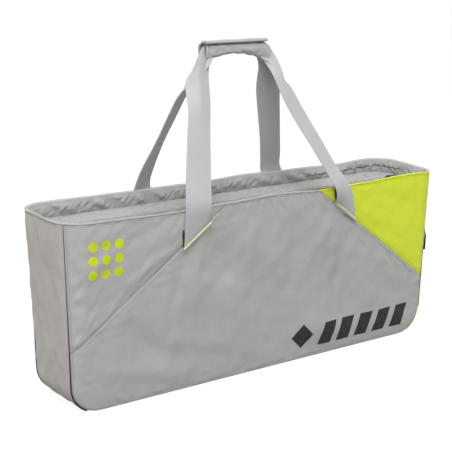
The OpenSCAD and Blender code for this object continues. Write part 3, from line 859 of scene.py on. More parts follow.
def make_rim(walls):
    """The folded rim: grey tape over the edge, yellow-green round the right end, and a tape inside it."""
    points, normals = rim_frames(BAG_H)
    lime = points[:, 0] > DIAG_TOP
    start = np.flatnonzero(lime & ~np.roll(lime, 1))[0]
    points, normals, lime = (np.roll(a, -start, axis=0) for a in (points, normals, lime))
    count = int(lime.sum())
    run = run_of(points)
    swell = 0.3 * ripple(31, 30)(run, 0 * run)

    def rings(form):
        sections, cloth = [], []
        for off, dz in form:
            ring = points + normals * (off + swell[:, None] * (0.6 if off > 0 else -0.6))
            ring[:, 2] += dz + swell * 0.4
            sections.append(slump(ring))
            cloth.append(xyz(off * 3 - dz, run, 30.0))
        return np.stack(sections, 1), np.stack(cloth, 1)

    sections, cloth = rings(INNER_FOLD)
    swept("rim_tape", sections, BINDING, "bag", ["rim_binding"], "binding", closed=True, cloth=cloth)
    sections, cloth = rings(OUTER_FOLD)
    wrap, flat = np.vstack([sections, sections[:1]]), np.vstack([cloth, cloth[-1:]])
    line = slump(np.vstack([points, points[:1]]) - [0, 0, RIM_SEW])
    ways = np.vstack([normals, normals[:1]])
    line = seated(line, ways, walls, 0.1)
    parts = (
        ("lime", slice(0, count + 1), LIME, "lime_canvas", THREAD_LIME),
        ("grey", slice(count, None), BINDING, "binding", THREAD_GREY),
    )
    for name, part, material, slot, _ in parts:
        swept(f"rim_{name}_fold", wrap[part], material, "bag", ["rim_binding"], slot, cloth=flat[part])
    for name, part, _, _, thread in parts:
        stitch_row(f"rim_{name}_thread", line[part], ways[part], thread, "bag", RIM_STITCH)


# ---- prints ----


def quad_patch(corners, count=15):
    """A grid of flat places over a four-cornered shape."""
    a, b, c, d = (np.array(p, float) for p in corners)
    s = np.linspace(0, 1, count)
    left = a + (d - a) * s[:, None]
    right = b + (c - b) * s[:, None]
    return left[:, None] + (right - left)[:, None] * s[None, :, None]


def disc(x, z, r, count=11):
    """A grid of flat places that fills a circle, by squeezing a square's rings."""
    s = np.linspace(-1, 1, count)
    gx, gz = np.meshgrid(s, s, indexing="ij")
    reach = np.maximum(np.abs(gx), np.abs(gz))
    length = np.maximum(np.hypot(gx, gz), 1e-9)
    return np.stack([x + r * gx * reach / length, z + r * gz * reach / length], -1)


def bar(x, z, w, h):
    return quad_patch([(x, z), (x + w, z), (x + w + h * 0.3, z + h), (x + h * 0.3, z + h)])


INK_OUT, INK_IN = 0.3, 0.1  # the film's faces over and under the cloth's surface


def make_print(name, nodes, shapes, cloths, material, slot):
    """Flat shapes laid on the front cloth as a thin film."""
    points, faces, flat, start = [], [], [], 0
    for patch in shapes:
        u, z = patch[..., 0].ravel(), patch[..., 1].ravel() * math.cos(LEAN)
        line, normals = front_line(u, z, 2)
        line, n = seated(line, normals, cloths, 0), unit(normals)
        faces += slab_faces(*patch.shape[:2], start)
        points += [line + n * INK_OUT, line - n * INK_IN]
        flat += [xyz(u, z, NO_SEAM)] * 2
        start += 2 * len(u)
    build(name, np.vstack(points), faces, material, "bag", nodes, slot, np.vstack(flat))


DOT_PITCH, DOT_R, DOTS_AT = 23.0, 8.0, (-344.0, 230.0)
MARK_Y = 20.0
BARS_X, BAR_PITCH, BAR_SIZE = 119.0, 44.0, (29.0, 42.0)
DIAMOND_X, DIAMOND_Y, DIAMOND = 82.0, 44.0, 33.0


def make_prints(walls):
    """Plain shapes: nine dots beside the left seam, a diamond and a row of bars at the lower right."""
    at_x, at_y = DOTS_AT
    dots = [disc(at_x + DOT_PITCH * i, at_y + DOT_PITCH * j, DOT_R) for i in range(3) for j in range(3)]
    make_print("side_emblem_ink", ["side_emblem"], dots, [walls["front_left"]], INK_LIME, "lime_print")
    reach, x, y = DIAMOND / math.sqrt(2), DIAMOND_X, DIAMOND_Y
    mark = [quad_patch([(x - reach, y), (x, y - reach), (x + reach, y), (x, y + reach)])]
    mark += [bar(BARS_X + BAR_PITCH * i, MARK_Y, *BAR_SIZE) for i in range(5)]
    make_print("front_mark_ink", ["front_mark"], mark, [walls["front_centre"]], INK_DARK, "dark_print")


PAINTED_STRAP_SHADOWS = (  # painted shadow under each front strap's foot: which foot, from, to and half width
    ("left", (-183.0, 282.0), (-178.5, 250.0), 3.2),
    ("right", (132.0, 312.0), (142.5, 283.0), 4.8),
)


def make_painted_strap_shadows(walls):
    """Painted shadow: a sliver of dark film under the left edge of each front strap, where the strap leaves
    the wall.
    """
    for where, start, end, wide in PAINTED_STRAP_SHADOWS:
        t = np.linspace(0, 1, 13)[:, None, None]
        way = np.array(end) - np.array(start)
        along = way / np.linalg.norm(way)
        half = wide * np.sin(math.pi * (0.04 + 0.92 * t)) ** 0.7
        across = np.array([-along[1], along[0]]) * half * np.linspace(-1, 1, 7)[None, :, None]
        grid = np.array(start) + way * t + across
        make_print(f"front_{where}_painted_shadow", [], [grid], [walls["front_" + where]], PIPING, "piping")


# ---- lining ----

SEAM_Z = 300.0  # height of the lining's dark cord, painted shadow of the gap at the closure's seam, and of the middle of its gathers
LINING_LOW, LINING_DOWN = 14.0, 1.8  # from the floor to its foot, and from the rim to its top
LINING_T, LINING_OVERLAP = 1.0, 0.2


def gather(run, z, seed):
    """How the lining stands off: gathered above the closure, tucked in at it and hemmed at the rim."""
    band = np.exp(-(((z - 299) / 10.0) ** 2))
    tuck = np.exp(-(((z - (CLOSURE_Z - 1)) / 3.0) ** 2))
    upright = ripple(seed, 26, 16)(run + 0.6 * (z - SEAM_Z), z * 0.35)
    small = ripple(seed + 1, 12, 16)(run - 0.8 * (z - SEAM_Z), z * 0.6)
    hem = 1.7 * np.clip((z - (BAG_H - 8)) / 6.2, 0, 1)
    return -np.clip(2.4 + 2.2 * upright + 0.9 * small, 0, 6.2) * band * (1 - hem / 1.8) + 0.3 * tuck + hem


def make_lining():
    """Four lining pieces. They hang smooth inside the bag and are gathered above the closure. A dark cord
    along the back and right lining is painted shadow of the gap at the seam.
    """
    coarse, fine = np.linspace(LINING_LOW, 270, 22), np.linspace(273, BAG_H - LINING_DOWN, 26)
    heights = np.concatenate([coarse, fine])
    made = {}
    for way, where, point, reach, count, size, seed in (
        (-1, "front", front_point, seam_u, 330, (0.80, 0.30), 59),
        (1, "back", front_point, seam_u, 330, (0.80, 0.30), 61),
        (-1, "left", end_point, seam_v, 60, (0.13, 0.31), 69),
        (1, "right", end_point, seam_v, 60, (0.13, 0.31), 71),
    ):
        across = np.array([np.linspace(-1, 1, count) * (reach(z) + LINING_OVERLAP) for z in heights])
        z = np.repeat(heights[:, None], count, 1)
        up = z if point is front_point else rise_of(z)
        off = LINING_OFF + gather(across, z, seed)
        outer, inner = point(across, up, off, way), point(across, up, off - LINING_T, way)
        nodes = [where + "_lining"]
        name, flat = where + "_lining_cloth", xyz(across, up, 40)
        made[where] = slab(name, outer, inner, LINING, "bag", nodes, "lining", flat)
    # painted shadow: a thin dark cord at the seam height, where the gap behind the closure falls dark
    wave = ripple(131, 16)
    u = np.linspace(200, seam_u(SEAM_Z) - 1, 90)
    line, normals = front_line(u, SEAM_Z + 0.9 * wave(u, 0 * u), LINING_OFF, 1)
    back_part = seated(line, -normals, [made["back"]], 0.1)
    v = np.linspace(seam_v(SEAM_Z) - 1, 4, 40)
    rise = rise_of(SEAM_Z + 0.9 * wave(v, 9 + 0 * v))
    line = end_point(v, rise, LINING_OFF + 0 * v)
    inward = line - end_point(v, rise, LINING_OFF + 1 + 0 * v)
    path = np.vstack([back_part, seated(line, inward, [made["right"]], 0.1)])
    step = np.arange(len(path))
    taper = np.clip(np.minimum(step, step[::-1]) / 12, 0.3, 1)
    swept("lining_seam_shadow_cord", tube(path, 0.75 * taper, 8), PIPING, "bag", slot="piping")


# ---- closure under the rim ----

UP = np.array([0, 0, 1.0])
END_THICK, TAB_R = 1.1, 3.0


def make_closure_cloth(face, place):
    body = place + "_closure"
    low, high = span(place + "_closure_panel")
    inner_edge = min(abs(low[1]), abs(high[1])) - 0.2
    depth = HINGE_Y + 5.2 - inner_edge
    x = spaced(2 * CLOSURE_HALF, (0, 1, 3, 6), 200) - CLOSURE_HALF
    gx, gd = np.meshgrid(x, spaced(depth, (0, 1, 2.5, 5), 22), indexing="ij")
    y = face * (inner_edge + gd)
    near = np.minimum(gd, depth - gd)
    drape = 1.3 * ripple(101 + face, 30)(gx, gd * 1.3) + 0.7 * ripple(103 + face, 14)(gx * 1.2, gd)
    middle = CLOSURE_Z + drape * ease(near, 6)
    thick = 1.25 * (0.45 + 0.55 * ease(near, 2))
    top, bottom = xyz(gx, y, middle + thick), xyz(gx, y, middle - thick)
    nodes = [place + "_closure_panel", place + "_closure_ledge"]
    piece = slab(body + "_cloth", top, bottom, LINING, None, nodes, "lining", xyz(gx, gd, near))
    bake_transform(piece)
    for inset in (2.2, 5.0):
        line, up = xyz(x, face * (inner_edge + inset), CLOSURE_Z + 1.15), np.tile(UP, (len(x), 1))
        line = seated(line, up, [piece], 0.1)
        stitch_row(f"{body}_thread_{int(inset)}", line, up, THREAD_DARK, body, CLOSURE_STITCH)


def make_closure_zip(face, place):
    body = place + "_closure"
    low, high = span(place + "_zip_tape")
    x, y = np.linspace(-CLOSURE_HALF, CLOSURE_HALF, 120), np.linspace(low[1], high[1], 8)
    gx, gy = np.meshgrid(x, y, indexing="ij")
    wave = 0.12 * ripple(109 + face, 40)(gx, gy)
    tape, under, flat = xyz(gx, gy, high[2] + wave), xyz(gx, gy, low[2] + wave), xyz(gx, gy, 40)
    slab(place + "_zip_tape_cloth", tape, under, GREY_TAPE, body, [place + "_zip_tape"], "zip_tape", flat)
    shift = TOOTH_PITCH / 2 if face > 0 else 0  # each side's teeth fill the other's gaps
    first = 1.2 - CLOSURE_HALF + shift
    axes = (0.72, 0, 0), (0, -face * 0.98, 0), (0, 0, 0.9)
    frames = [
        (np.array([first + i * TOOTH_PITCH, face * 2.6, CLOSURE_Z + 0.5]), *axes)
        for i in range(int(2 * CLOSURE_HALF / TOOTH_PITCH) - 1)
    ]
    many(place + "_coil", TOOTH, TOOTH_FACES, frames, TEETH, body, [place + "_zip_teeth"], "zip_teeth")


def make_closure_end(side, where):
    """The fixed cloth at one end of the closure, and the tab that holds the zip's end."""
    a, r = half_len(CLOSURE_Z), corner_r(CLOSURE_Z)
    off = LINING_OFF - 2.0
    bend = a - r + (r + off) * np.sin(np.linspace(0, math.radians(86), 16))
    x = np.concatenate([np.linspace(CLOSURE_HALF + 0.6, a - r, 6, endpoint=False), bend])
    rounded = np.sqrt(np.maximum((r + off) ** 2 - np.clip(x - (a - r), 0, None) ** 2, 0))
    reach = half_dep(CLOSURE_Z) - r + rounded
    t = np.linspace(-1, 1, 40)
    gx = np.repeat(x[:, None], 40, 1)
    gy = reach[:, None] * t[None]
    near = np.minimum(reach[:, None] * (1 - np.abs(t[None])), np.abs(a + off - gx))
    drape = (1.3 * ripple(105 + side, 24)(gx, gy) + 0.7 * ripple(107, 12)(gx, gy)) * ease(near, 5)
    drape = drape * np.clip((gx - CLOSURE_HALF) / 25, 0.1, 1)
    tops, lows = (xyz(side * gx, gy, CLOSURE_Z + thick + drape) for thick in (END_THICK, -END_THICK))
    nodes, flat = [f"closure_{where}_end"], xyz(gx, gy, near)
    piece = slab(f"closure_{where}_cloth", tops, lows, LINING, "bag", nodes, "lining", flat)
    tab = f"zip_{where}_tab"
    low, high = span(tab)
    swept(tab + "_cloth", rounded_plate(low, high, TAB_R), GREY_TAPE, "bag", [tab], "zip_tape")
    x, up = np.linspace(low[0] + 2, high[0] - 2, 20), np.tile(UP, (20, 1))
    for way in (-1, 1):
        line = xyz(x, way * 9.5, high[2] + 0.1)
        stitch_row(f"{tab}_thread_{way + 1}", line, up, THREAD_GREY, "bag", TAB_STITCH)


def rounded_plate(low, high, r):
    """Sections, bottom to top, of a plate with round plan corners and soft edges."""
    (x0, y0, z0), (x1, y1, z1) = low, high
    c, s = np.cos(circle(32)), np.sin(circle(32))
    cx, cy = np.where(c > 0, x1 - r, x0 + r), np.where(s > 0, y1 - r, y0 + r)
    levels = ((0.8, z0), (0.1, z0 + 0.25), (0, (z0 + z1) / 2), (0.1, z1 - 0.25), (0.9, z1))
    return [xyz(cx + (r - inset) * c, cy + (r - inset) * s, z) for inset, z in levels]


# A coil tooth: a rounded block lying across the zip, as its one side and the mirror image of it
TOOTH_SIDE = (
    (0.62, 0, -0.7), (0.62, 0, 0.7), (0.7, 1.5, 0.75), (0.7, 1.5, -0.75), (0.45, 2.6, 0.4),
    (0.45, 2.6, -0.4),
)
TOOTH = [[x * way, y, z] for way in (-1, 1) for x, y, z in TOOTH_SIDE]
TOOTH_FACES = [
    [0, 1, 2, 3], [3, 2, 4, 5], [6, 7, 8, 9], [9, 8, 10, 11], [0, 1, 7, 6], [1, 2, 8, 7], [2, 4, 10, 8],
    [4, 5, 11, 10], [5, 3, 9, 11], [3, 0, 6, 9],
]
TOOTH_PITCH = 2.2


def make_closure():
    for face, place in FACES:
        make_closure_cloth(face, place)
        make_closure_zip(face, place)
    for side, where in SIDES:
        make_closure_end(side, where)


# ---- zip sliders and pulls ----


def oval(half_x, half_y, z, count=28, power=2.6):
    """A rounded-oblong section at height z."""
    c, s = np.cos(circle(count)), np.sin(circle(count))
    x, y = (np.sign(k) * np.abs(k) ** (2 / power) for k in (c, s))
    return xyz(half_x * x, half_y * y, z)


PLATE = ((8.6, 4.2, 0.0), (9.6, 4.8, 0.4), (9.8, 4.9, 1.2), (9.3, 4.5, 1.9), (7.6, 3.4, 2.3))
ARCH = (  # the bridge's middle line: distance along the zip and height
    (-5.2, 1.6), (-5.0, 3.6), (-3.6, 4.9), (0, 5.3), (3.2, 4.9), (4.6, 3.6), (4.8, 1.6),
)


def slider_parts(place):
    """A slider's plate and bridge in its own frame; place maps them to the bag. X runs along the zip."""
    arch = smooth_path([(x, 0, z) for x, z in ARCH], 0.8)
    side = np.array([0, 1.0, 0])
    up = np.cross(unit(np.gradient(arch, axis=0)), side)
    plate, bridge = np.array([oval(*row) for row in PLATE]), around(arch, side * 1.5, up * 0.65, 10)
    return [place(plate), place(bridge)]


def ring_solid(centre, along, across, radius, thick, count=28):
    """A closed ring as a nearly complete tube, in the plane of two axes."""
    t = np.linspace(0, 2 * math.pi, count)
    path = centre + radius * (np.outer(np.cos(t), along) + np.outer(np.sin(t) * 0.82, across))
    normal = np.cross(along, across)
    side = np.cross(unit(np.gradient(path, axis=0)), normal)
    return around(path, side * thick, normal * thick, 8)


def tag(rows, origin, along, across, out):
    """A pull's grip through oval sections: distance along it, half width and half thickness."""
    d, w, h = np.array(rows).T[..., None]
    return around(origin + along * d, across * w, out * h, 16)


TOP_TAG = (
    (4.6, 1.8, 0.5), (5.6, 2.9, 0.8), (8, 3.3, 0.9), (14, 2.9, 0.9), (20, 3.2, 0.9), (22, 2.6, 0.7),
    (22.8, 1.4, 0.3),
)
END_CORD = (
    (4.0, 1.0, 0.8), (6, 1.7, 1.2), (9, 2.1, 1.4), (16, 2.0, 1.4), (24, 2.2, 1.5), (30, 2.6, 1.7),
    (33, 2.4, 1.5), (34.5, 1.3, 0.9),
)


def make_top_slider():
    low, high = span("top_zip_slider")
    centre = np.array([(low[0] + high[0]) / 2, 0, low[2]])
    parts = slider_parts(lambda s: s + centre)
    joined("top_slider_body", parts, METAL, "top_slider", ["top_zip_slider"], "zip_metal")
    pin = joint_at("top_pull_flip")
    along, across = np.array([1.0, 0, 0]), np.array([0, 1.0, 0])
    loop = ring_solid(pin + [2.2, 0, 0.3], along, across, 3.6, 0.6)
    grip = tag(TOP_TAG, pin * [1, 0, 1] + [0, 0, 0.3], along, across, UP)
    joined("top_pull_tag", [loop, grip], METAL, "top_pull", ["top_zip_pull"], "zip_metal")


def end_frame():
    """The end slider's frame: its origin and its axes down the zip, across it and out of the bag."""
    across = -np.array(JOINTS["end_pull_flip"]["axis"])
    down = np.array(JOINTS["end_zip_slide"]["axis"])
    across = unit(across - down * across.dot(down))
    out = np.cross(down, across)
    return joint_at("end_pull_flip"), down, across, out if out[0] > 0 else -out


END_SEAT = 4.3  # from the end pull's pin in to the slider's underside
TAPE_LIFT, COIL_LIFT, TAPE_THREAD_LIFT = 1.7, 2.6, 2.95
TAPE_OUT, TAPE_IN, TAPE_SEW = 0.9, 1.6, 8.5  # the tape's faces from its middle, and its stitching


def make_end_slider():
    pin, down, across, out = end_frame()
    seat = pin - out * END_SEAT

    def place(s):
        return seat + s[..., :1] * down + s[..., 1:2] * across + s[..., 2:] * out

    joined("end_slider_body", slider_parts(place), METAL, "end_slider", ["end_zip_slider"], "zip_metal")
    leaning, slanting = unit(down * 0.85 + out * 0.52), unit(across + out * 0.3)
    ring = ring_solid(pin + down * 3.0 + out * 2.2, leaning, slanting, 3.9, 0.75)
    cord = tag(END_CORD, pin + out * 3.4, down, across, out)
    joined("end_pull_cord", [ring, cord], METAL, "end_pull", ["end_zip_pull"], "zip_metal")


def make_end_zip():
    low, high = span("end_zip_teeth")
    zip_y = -(low[1] + high[1]) / 2
    z = np.linspace(low[2] + 1, high[2] - 1, 90)
    s = rise_of(z)
    r, flat = corner_r(z), half_dep(z) - corner_r(z)
    middle = np.where(zip_y > flat, flat + r * np.arcsin(np.clip((zip_y - flat) / r, 0, 1)), zip_y)
    for way, where in FACES:
        d = np.linspace(2.2, 11, 8) * way
        v = -middle[:, None] + d[None]
        rise = np.repeat(s[:, None], 8, 1)
        lift = TAPE_LIFT + 0.4 * np.exp(-((np.abs(d) - 10.5) ** 2))[None] + 0 * v
        outer, inner = end_point(v, rise, lift + TAPE_OUT), end_point(v, rise, lift - TAPE_IN)
        nodes = ["end_zip_tape"] if way < 0 else []
        slab(f"end_zip_{where}_tape", outer, inner, TAPE, "bag", nodes, "zip_tape", xyz(v, rise, 40))
        v = -middle + TAPE_SEW * way
        line = end_point(v, s, TAPE_THREAD_LIFT + 0 * s)
        normals = end_point(v, s, TAPE_THREAD_LIFT + 1 + 0 * s) - line
        stitch_row(f"end_zip_{where}_thread", line, normals, THREAD_LIME, "bag", ZIP_STITCH)
    frames = []
    for i in range(int((z[-1] - z[0]) / TOOTH_PITCH)):
        here = z[0] + i * TOOTH_PITCH
        v, rise = np.array([-np.interp(here, z, middle)]), rise_of(np.array([here]))
        at = end_point(v, rise, np.array([COIL_LIFT]))[0]
        n = unit(end_point(v, rise, np.array([COIL_LIFT + 1]))[0] - at)
        up = unit(end_point(v, rise + 1, np.array([COIL_LIFT]))[0] - at)
        way = np.cross(n, up) * (1 if i % 2 else -1)
        frames.append((at + way * 2.4, up * 0.72, -way * 0.98, n * 0.9))
    many("end_coil", TOOTH, TOOTH_FACES, frames, TEETH, "bag", ["end_zip_teeth"], "zip_teeth")


# ---- handles ----

# Fold line of each strap, from the left foot over the grip to the right foot. Each row is the place, the
# direction from the fold line to the strap's inner edge, the fold angle and the width of each half.
GRIP_MID = -16.0
FRONT_STRAP = [
    (-156, -84, 262, 1, 0, 0, 0, 24), (-156.5, -88.5, 288, 1, 0, 0, 0, 24),
    (-156, -90.3, 318, 1, 0, -0.03, 0, 24), (-149, -79, 348, 0.99, 0, -0.12, 0, 24),
    (-133, -56, 400, 0.97, 0.02, -0.24, 0, 23.5), (-120, -38, 436, 0.96, 0.04, -0.26, 0, 22.5),
    (-109.5, -25, 466, 0.95, 0.04, -0.3, 18, 21.5), (-104, -15, 491, 0.9, 0.03, -0.42, 48, 22),
    (-100, -7, 511, 0.78, 0, -0.62, 80, 23), (-92, 0, 528, 0.55, 0, -0.83, 120, 22),
    (-83, 6, 543, 0.25, 0, -0.97, 155, 21.5), (-76, 11, 557, 0.05, 0, -1, 172, 21),
    (-66, 13, 563, 0, 0, -1, 178, 20.5), (-50, 13, 564, 0, 0, -1, 180, 20.5),
    (GRIP_MID, 13, 564, 0, 0, -1, 180, 20.5), (18, 13, 564, 0, 0, -1, 180, 20.5),
    (40, 12.5, 561, -0.1, 0, -1, 178, 21), (54, 10, 553, -0.3, -0.05, -0.95, 168, 22),
    (64, 5, 539, -0.45, -0.1, -0.88, 130, 22), (71, -5, 516, -0.65, -0.3, -0.7, 72, 23),
    (72, -17, 489, -0.79, -0.46, -0.35, 18, 24), (79.5, -30, 457, -0.86, -0.48, -0.1, 0, 24),
    (93.5, -43, 425, -0.86, -0.48, -0.08, 0, 24), (108.5, -59, 391, -0.85, -0.5, -0.08, 0, 24),
    (128.5, -78, 346, -0.85, -0.52, -0.08, 0, 24), (142, -92.5, 317, -0.91, -0.4, -0.05, 0, 24),
    (151, -92, 290, -0.98, -0.2, 0, 0, 24), (157, -84, 262, -1, 0, 0, 0, 24),
]
BACK_STRAP = [
    (-152, 84, 262, 1, 0, 0, 0, 24), (-151, 88.5, 288, 1, 0, 0, 0, 24),
    (-150, 92, 318, 0.88, 0.45, -0.1, 0, 24), (-143.5, 82, 352, 0.81, 0.58, -0.14, 0, 24),
    (-134, 63, 393, 0.745, 0.66, -0.1, 0, 24), (-119.5, 48, 436, 0.765, 0.64, -0.08, 0, 24),
    (-105, 35, 478, 0.78, 0.6, -0.12, 8, 24), (-94, 27, 508, 0.68, 0.5, -0.52, 55, 24),
    (-86, 22, 530, 0.5, 0.2, -0.84, 110, 22.5), (-79, 19, 548, 0.25, 0, -0.97, 160, 21.5),
    (-70, 18.2, 561, 0.05, 0, -1, 178, 21), (-50, 18.2, 564, 0, 0, -1, 180, 20.5),
    (GRIP_MID, 18.2, 564, 0, 0, -1, 180, 20.5), (18, 18.2, 564, 0, 0, -1, 180, 20.5),
    (36, 18.2, 562, -0.1, 0, -1, 178, 21), (49, 18.4, 555, -0.35, 0, -0.94, 172, 22),
    (60, 19, 541, -0.55, 0.1, -0.84, 145, 22.5), (68, 22, 522, -0.78, 0.16, -0.6, 98, 23),
    (72, 27, 503, -0.9, 0.2, -0.35, 42, 24), (75, 34, 484, -0.95, 0.14, -0.2, 8, 24),
    (83.5, 44, 457, -0.97, 0.07, -0.18, 0, 24), (106, 67, 391, -0.98, -0.08, -0.16, 0, 24),
    (120, 83, 346, -0.98, -0.09, -0.12, 0, 24), (128, 92, 318, -0.985, -0.13, -0.04, 0, 24),
    (141, 88.5, 288, -1, 0, 0, 0, 24), (149, 84, 262, -1, 0, 0, 0, 24),
]
WEB_T = 1.9
WEB_HALF = 24.0
WEB_STEPS = 6
WEB_LIP = 0.55
FOOT_FLAT = 30.0  # length over which a strap's foot lies flat on the wall


def strap_sections(rows, behind):
    """Closed sections along a strap. behind is the way, in Y, that the folded half turns."""
    p = smooth_path(rows, 5.0)
    centre = p[:, :3]
    tangent = unit(np.gradient(centre, axis=0))
    inner = unit(p[:, 3:6] - tangent * np.sum(p[:, 3:6] * tangent, 1, keepdims=True))
    back = np.cross(tangent, inner)
    back *= np.sign(np.sum(back * np.array([0, behind, 0]), 1, keepdims=True))
    theta = np.radians(np.clip(p[:, 6], 0, 180))[:, None]
    half = p[:, 7]
    outer = -inner * np.cos(theta) + back * np.sin(theta)
    outer_normal = back * np.cos(theta) + inner * np.sin(theta)
    apart = back * 1.25 * (1 - np.cos(theta))
    run = run_of(centre)
    foot = np.exp(-((run / FOOT_FLAT) ** 2)) + np.exp(-(((run[-1] - run) / FOOT_FLAT) ** 2))
    lines, normals, across = [], [], []
    for t in np.arange(-WEB_STEPS, WEB_STEPS + 1) / WEB_STEPS:
        if t < 0:
            line, normal = outer * -t * half[:, None] + apart * min(1, -t * 3), outer_normal
        elif t == 0:
            line, normal = apart * 0.2, unit(back + outer_normal + 1e-6)
        else:
            line, normal = inner * t * half[:, None], back
        lines.append(centre + line)
        normals.append(normal)
        across.append(half * t)
    lines, normals, across = np.array(lines), np.array(normals), np.array(across)
    lines[..., 2] += across * foot * DIAG_RISE
    bow = 0.9 * (1 - (across / WEB_HALF) ** 2) * np.clip(np.cos(theta[:, 0]), 0, 1) * (1 - foot)
    lines = lines - normals * bow[..., None]
    front, rear = lines - normals * WEB_T / 2, lines + normals * WEB_T / 2
    one_edge = lines[:1] + (lines[:1] - lines[1:2]) * WEB_LIP / 4
    other_edge = lines[-1:] + (lines[-1:] - lines[-2:-1]) * WEB_LIP / 4
    loop = np.concatenate([one_edge, front, other_edge, rear[::-1]])
    width = np.concatenate([across[:1] - WEB_LIP, across, across[-1:] + WEB_LIP, across[::-1]])
    return loop.transpose(1, 0, 2), xyz(width, run, 30.0).transpose(1, 0, 2)


def make_straps():
    for place, rows, behind in (("front", FRONT_STRAP, 1), ("back", BACK_STRAP, -1)):
        sections, cloth = strap_sections(rows, behind)
        nodes = [place + "_handle_webbing", f"{place}_left_strap_end", f"{place}_right_strap_end"]
        piece = swept(place + "_strap", sections, WEBBING, None, nodes, "webbing", cloth=cloth)
        hinge = joint_at(place + "_handle_swing")
        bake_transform(piece)


def make_tacks():
    """Thread bars that fasten the straps' feet along the diagonal seams."""
    for (face, place), feet in zip(FACES, ((157, 158), (154, 150))):
        for (side, where), foot in zip(SIDES, feet):
            u = np.linspace(foot - 26, foot + 26, 40)
            z = BAG_H - DIAG_RISE * (u - DIAG_TOP) - 1.5
            line, normals = front_line(side * u, z, 5.4, face)
            n = unit(normals)
            wide = np.cross(n, unit(np.gradient(line, axis=0)))
            ends = np.minimum(1, np.minimum(u - u[0], u[-1] - u) / 2 + 0.35)[:, None]
            form = around(line, wide * 2.0 * ends, n * 1.1 * ends, 10)
            name = f"{place}_{where}_tack"
            swept(name + "_bar", form, TACK, "bag", [name], "tack_thread")
            stitch_row(name + "_thread", line + n * 1.15, n, TACK, "bag", TACK_STITCH)


# ---- grip ----

ROLL_Y, ROLL_Z = 15.4, 551.6
ROLL_HALF_Y, ROLL_HALF_Z, ROLL_HALF_X = 10.6, 12.2, 63.0
ROLL_POWER = 2 / 2.5  # how square the section is
UNDER_LIFT, UNDER_BOW, END_DROP = 4.5, 13.5, 1.6  # underside raised in the middle, top ends lowered
DROOP, DROOP_FROM, DROOP_OVER = 8.0, 40, 18.0  # the right end hangs
ROLL_TOP = ROLL_Z + ROLL_HALF_Z
WRAP_TURNS, FLAP_TURNS = np.radians(np.linspace(128, 322, 28)), np.radians(np.linspace(-34, 76, 18))
FLAP_LIP = [  # depth, height over the roll and half thickness of the flap's free edge
    (15, 1.0, 1.3), (11, 1.4, 1.6), (7, 1.3, 2.2), (4, 1.0, 2.6), (2, 0.7, 2.7), (1.0, 0.6, 2.2),
    (0.5, 0.6, 1.0),
]
LOOP_ROWS = [
    (y, ROLL_TOP - down, h) for y, down, h in ((13, 0.5, 0.4), (9, 0.8, 0.5), (5, 1.4, 0.5), (2.6, 2.1, 0.4))
]
SHELL_PITCH = 2.2


def roll_edge(turn, grow, x):
    """A point of the grip roll's section at an angle from the back, at a place along it."""
    c, s = math.cos(turn), math.sin(turn)
    t = (x - GRIP_MID) / ROLL_HALF_X
    y = ROLL_Y + (ROLL_HALF_Y + grow) * math.copysign(abs(c) ** ROLL_POWER, c)
    z = ROLL_Z + (ROLL_HALF_Z + grow) * math.copysign(abs(s) ** ROLL_POWER, s)
    z += max(0.0, -s) * (UNDER_LIFT - UNDER_BOW * t * t) - END_DROP * max(0.0, s) * t**6
    z -= DROOP * min(1.0, max(0.0, (x - DROOP_FROM) / DROOP_OVER)) ** 2
    return np.array([x, y, z])


def shell(name, first, last, turns, body, nodes, inner_off, lip=()):
    """A padded shell over part of the roll; lip adds flat rows beyond its last angle."""
    x = first + spaced(last - first, (0, 0.6, 1.6, 3.4), 44)
    ends = np.minimum(x - first, last - x)
    puff = 1.1 * ease(ends, 5) + 0.35 * ripple(201, 26)(x, 0 * x)
    row = np.arange(len(turns))
    soft = ease(np.minimum(row, row[::-1]) * SHELL_PITCH, 3)
    outer, inner, cloth = [], [], []
    for i, xi in enumerate(x):
        grow = puff[i] * soft + 0.35 * ripple(203, 15)(xi, row * 3.0) * soft
        wave = 0.3 * math.sin(xi / 9.0)
        o = [roll_edge(t, g, xi) for t, g in zip(turns, grow)]
        n = [roll_edge(t, inner_off, xi) for t in turns]
        outer.append(o + [(xi, y, ROLL_TOP + z + h + wave) for y, z, h in lip])
        inner.append(n + [(xi, y, ROLL_TOP + z - h) for y, z, h in lip])
        cloth.append([(xi, SHELL_PITCH * k, min(ends[i], 30)) for k in range(len(outer[-1]))])
    outer, inner, cloth = np.array(outer), np.array(inner), np.array(cloth)
    piece = slab(name, outer, inner, GRIP, body, nodes, "grip_fabric", cloth)
    return piece


def pile_strip(name, x, rows, body, node):
    """A pile strip through rows of depth, height and half thickness at each place along the grip."""
    outer = np.array([[(xi, y, z + h) for y, z, h in rows(xi)] for xi in x])
    inner = np.array([[(xi, y, z - h) for y, z, h in rows(xi)] for xi in x])
    slab(name, outer, inner, PILE, body, [node], "hook_and_loop")


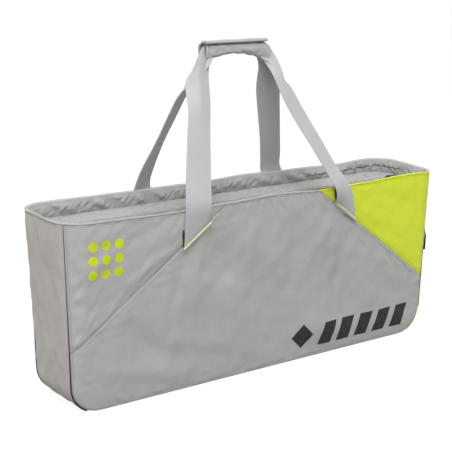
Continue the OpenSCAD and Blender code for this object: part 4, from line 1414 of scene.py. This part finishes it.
def make_grip():
    low, high = span("grip_wrap")
    roll_x = (low[0] + 4, high[0] + 8)
    shell("grip_wrap_pad", *roll_x, WRAP_TURNS, "front_handle", ["grip_wrap"], -2.6)
    flap = shell("grip_flap_pad", low[0], high[0], FLAP_TURNS, None, ["grip_flap"], -2.2, FLAP_LIP)
    hinge = joint_at("grip_flap_open")
    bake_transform(flap)
    x = low[0] + spaced(high[0] - low[0], (0, 0.6, 1.6, 3.4), 44)
    hook_turns = np.radians(np.linspace(96, 122, 6))

    def hook_rows(xi):
        return [(*roll_edge(t, 0.3, xi)[1:], 0.7) for t in hook_turns]

    pile_strip("grip_hook_pile", x[2:-2], hook_rows, "front_handle", "grip_hook_strip")
    pile_strip("grip_loop_pile", x[2:-2], lambda xi: LOOP_ROWS, "flap", "grip_loop_strip")
    for where, at in (("left", roll_x[0] + 0.3), ("right", roll_x[1] - 0.3)):
        form = tube(smooth_path([roll_edge(t, -0.4, at) for t in WRAP_TURNS[1:-1]], 2.0), 2.0, 12, 0.8)
        swept(f"grip_{where}_binding", form, BINDING, "front_handle", slot="binding")
    for name, turn, body in (("front", 150, "front_handle"), ("flap", 40, "flap")):
        line = np.array([roll_edge(math.radians(turn), 1.6, xi) for xi in x[3:-3]])
        ways = line - xyz(x[3:-3], ROLL_Y, ROLL_Z)
        stitch_row(f"grip_{name}_thread", line, ways, THREAD_GREY, body, ZIP_STITCH)


# ---- what stays from the CAD model ----


def dress_cad():
    """The pouch behind the end zip keeps its CAD shape and gets the lining's cloth."""
    node = frame["nodes"]["end_pocket"]
    node.data.materials.clear()
    node.data.materials.append(LINING)


bpy.context.scene.view_settings.view_transform = "Standard"
make_camera()
make_sky()
make_lights()
make_floor()
walls = make_walls()
ends = [
    make_gusset(-1, "left_end_gusset", WARM, "gusset_canvas"),
    make_gusset(1, "right_end_gusset", LIME, "lime_canvas"),
]
make_base()
make_seams(walls)
make_piping()
make_rim(list(walls.values()) + ends)
make_prints(walls)
# dark slivers of painted shadow under the front straps' feet
make_painted_strap_shadows(walls)
make_lining()
make_closure()
make_top_slider()
make_end_slider()
make_end_zip()
make_straps()
make_tacks()
make_grip()
dress_cad()
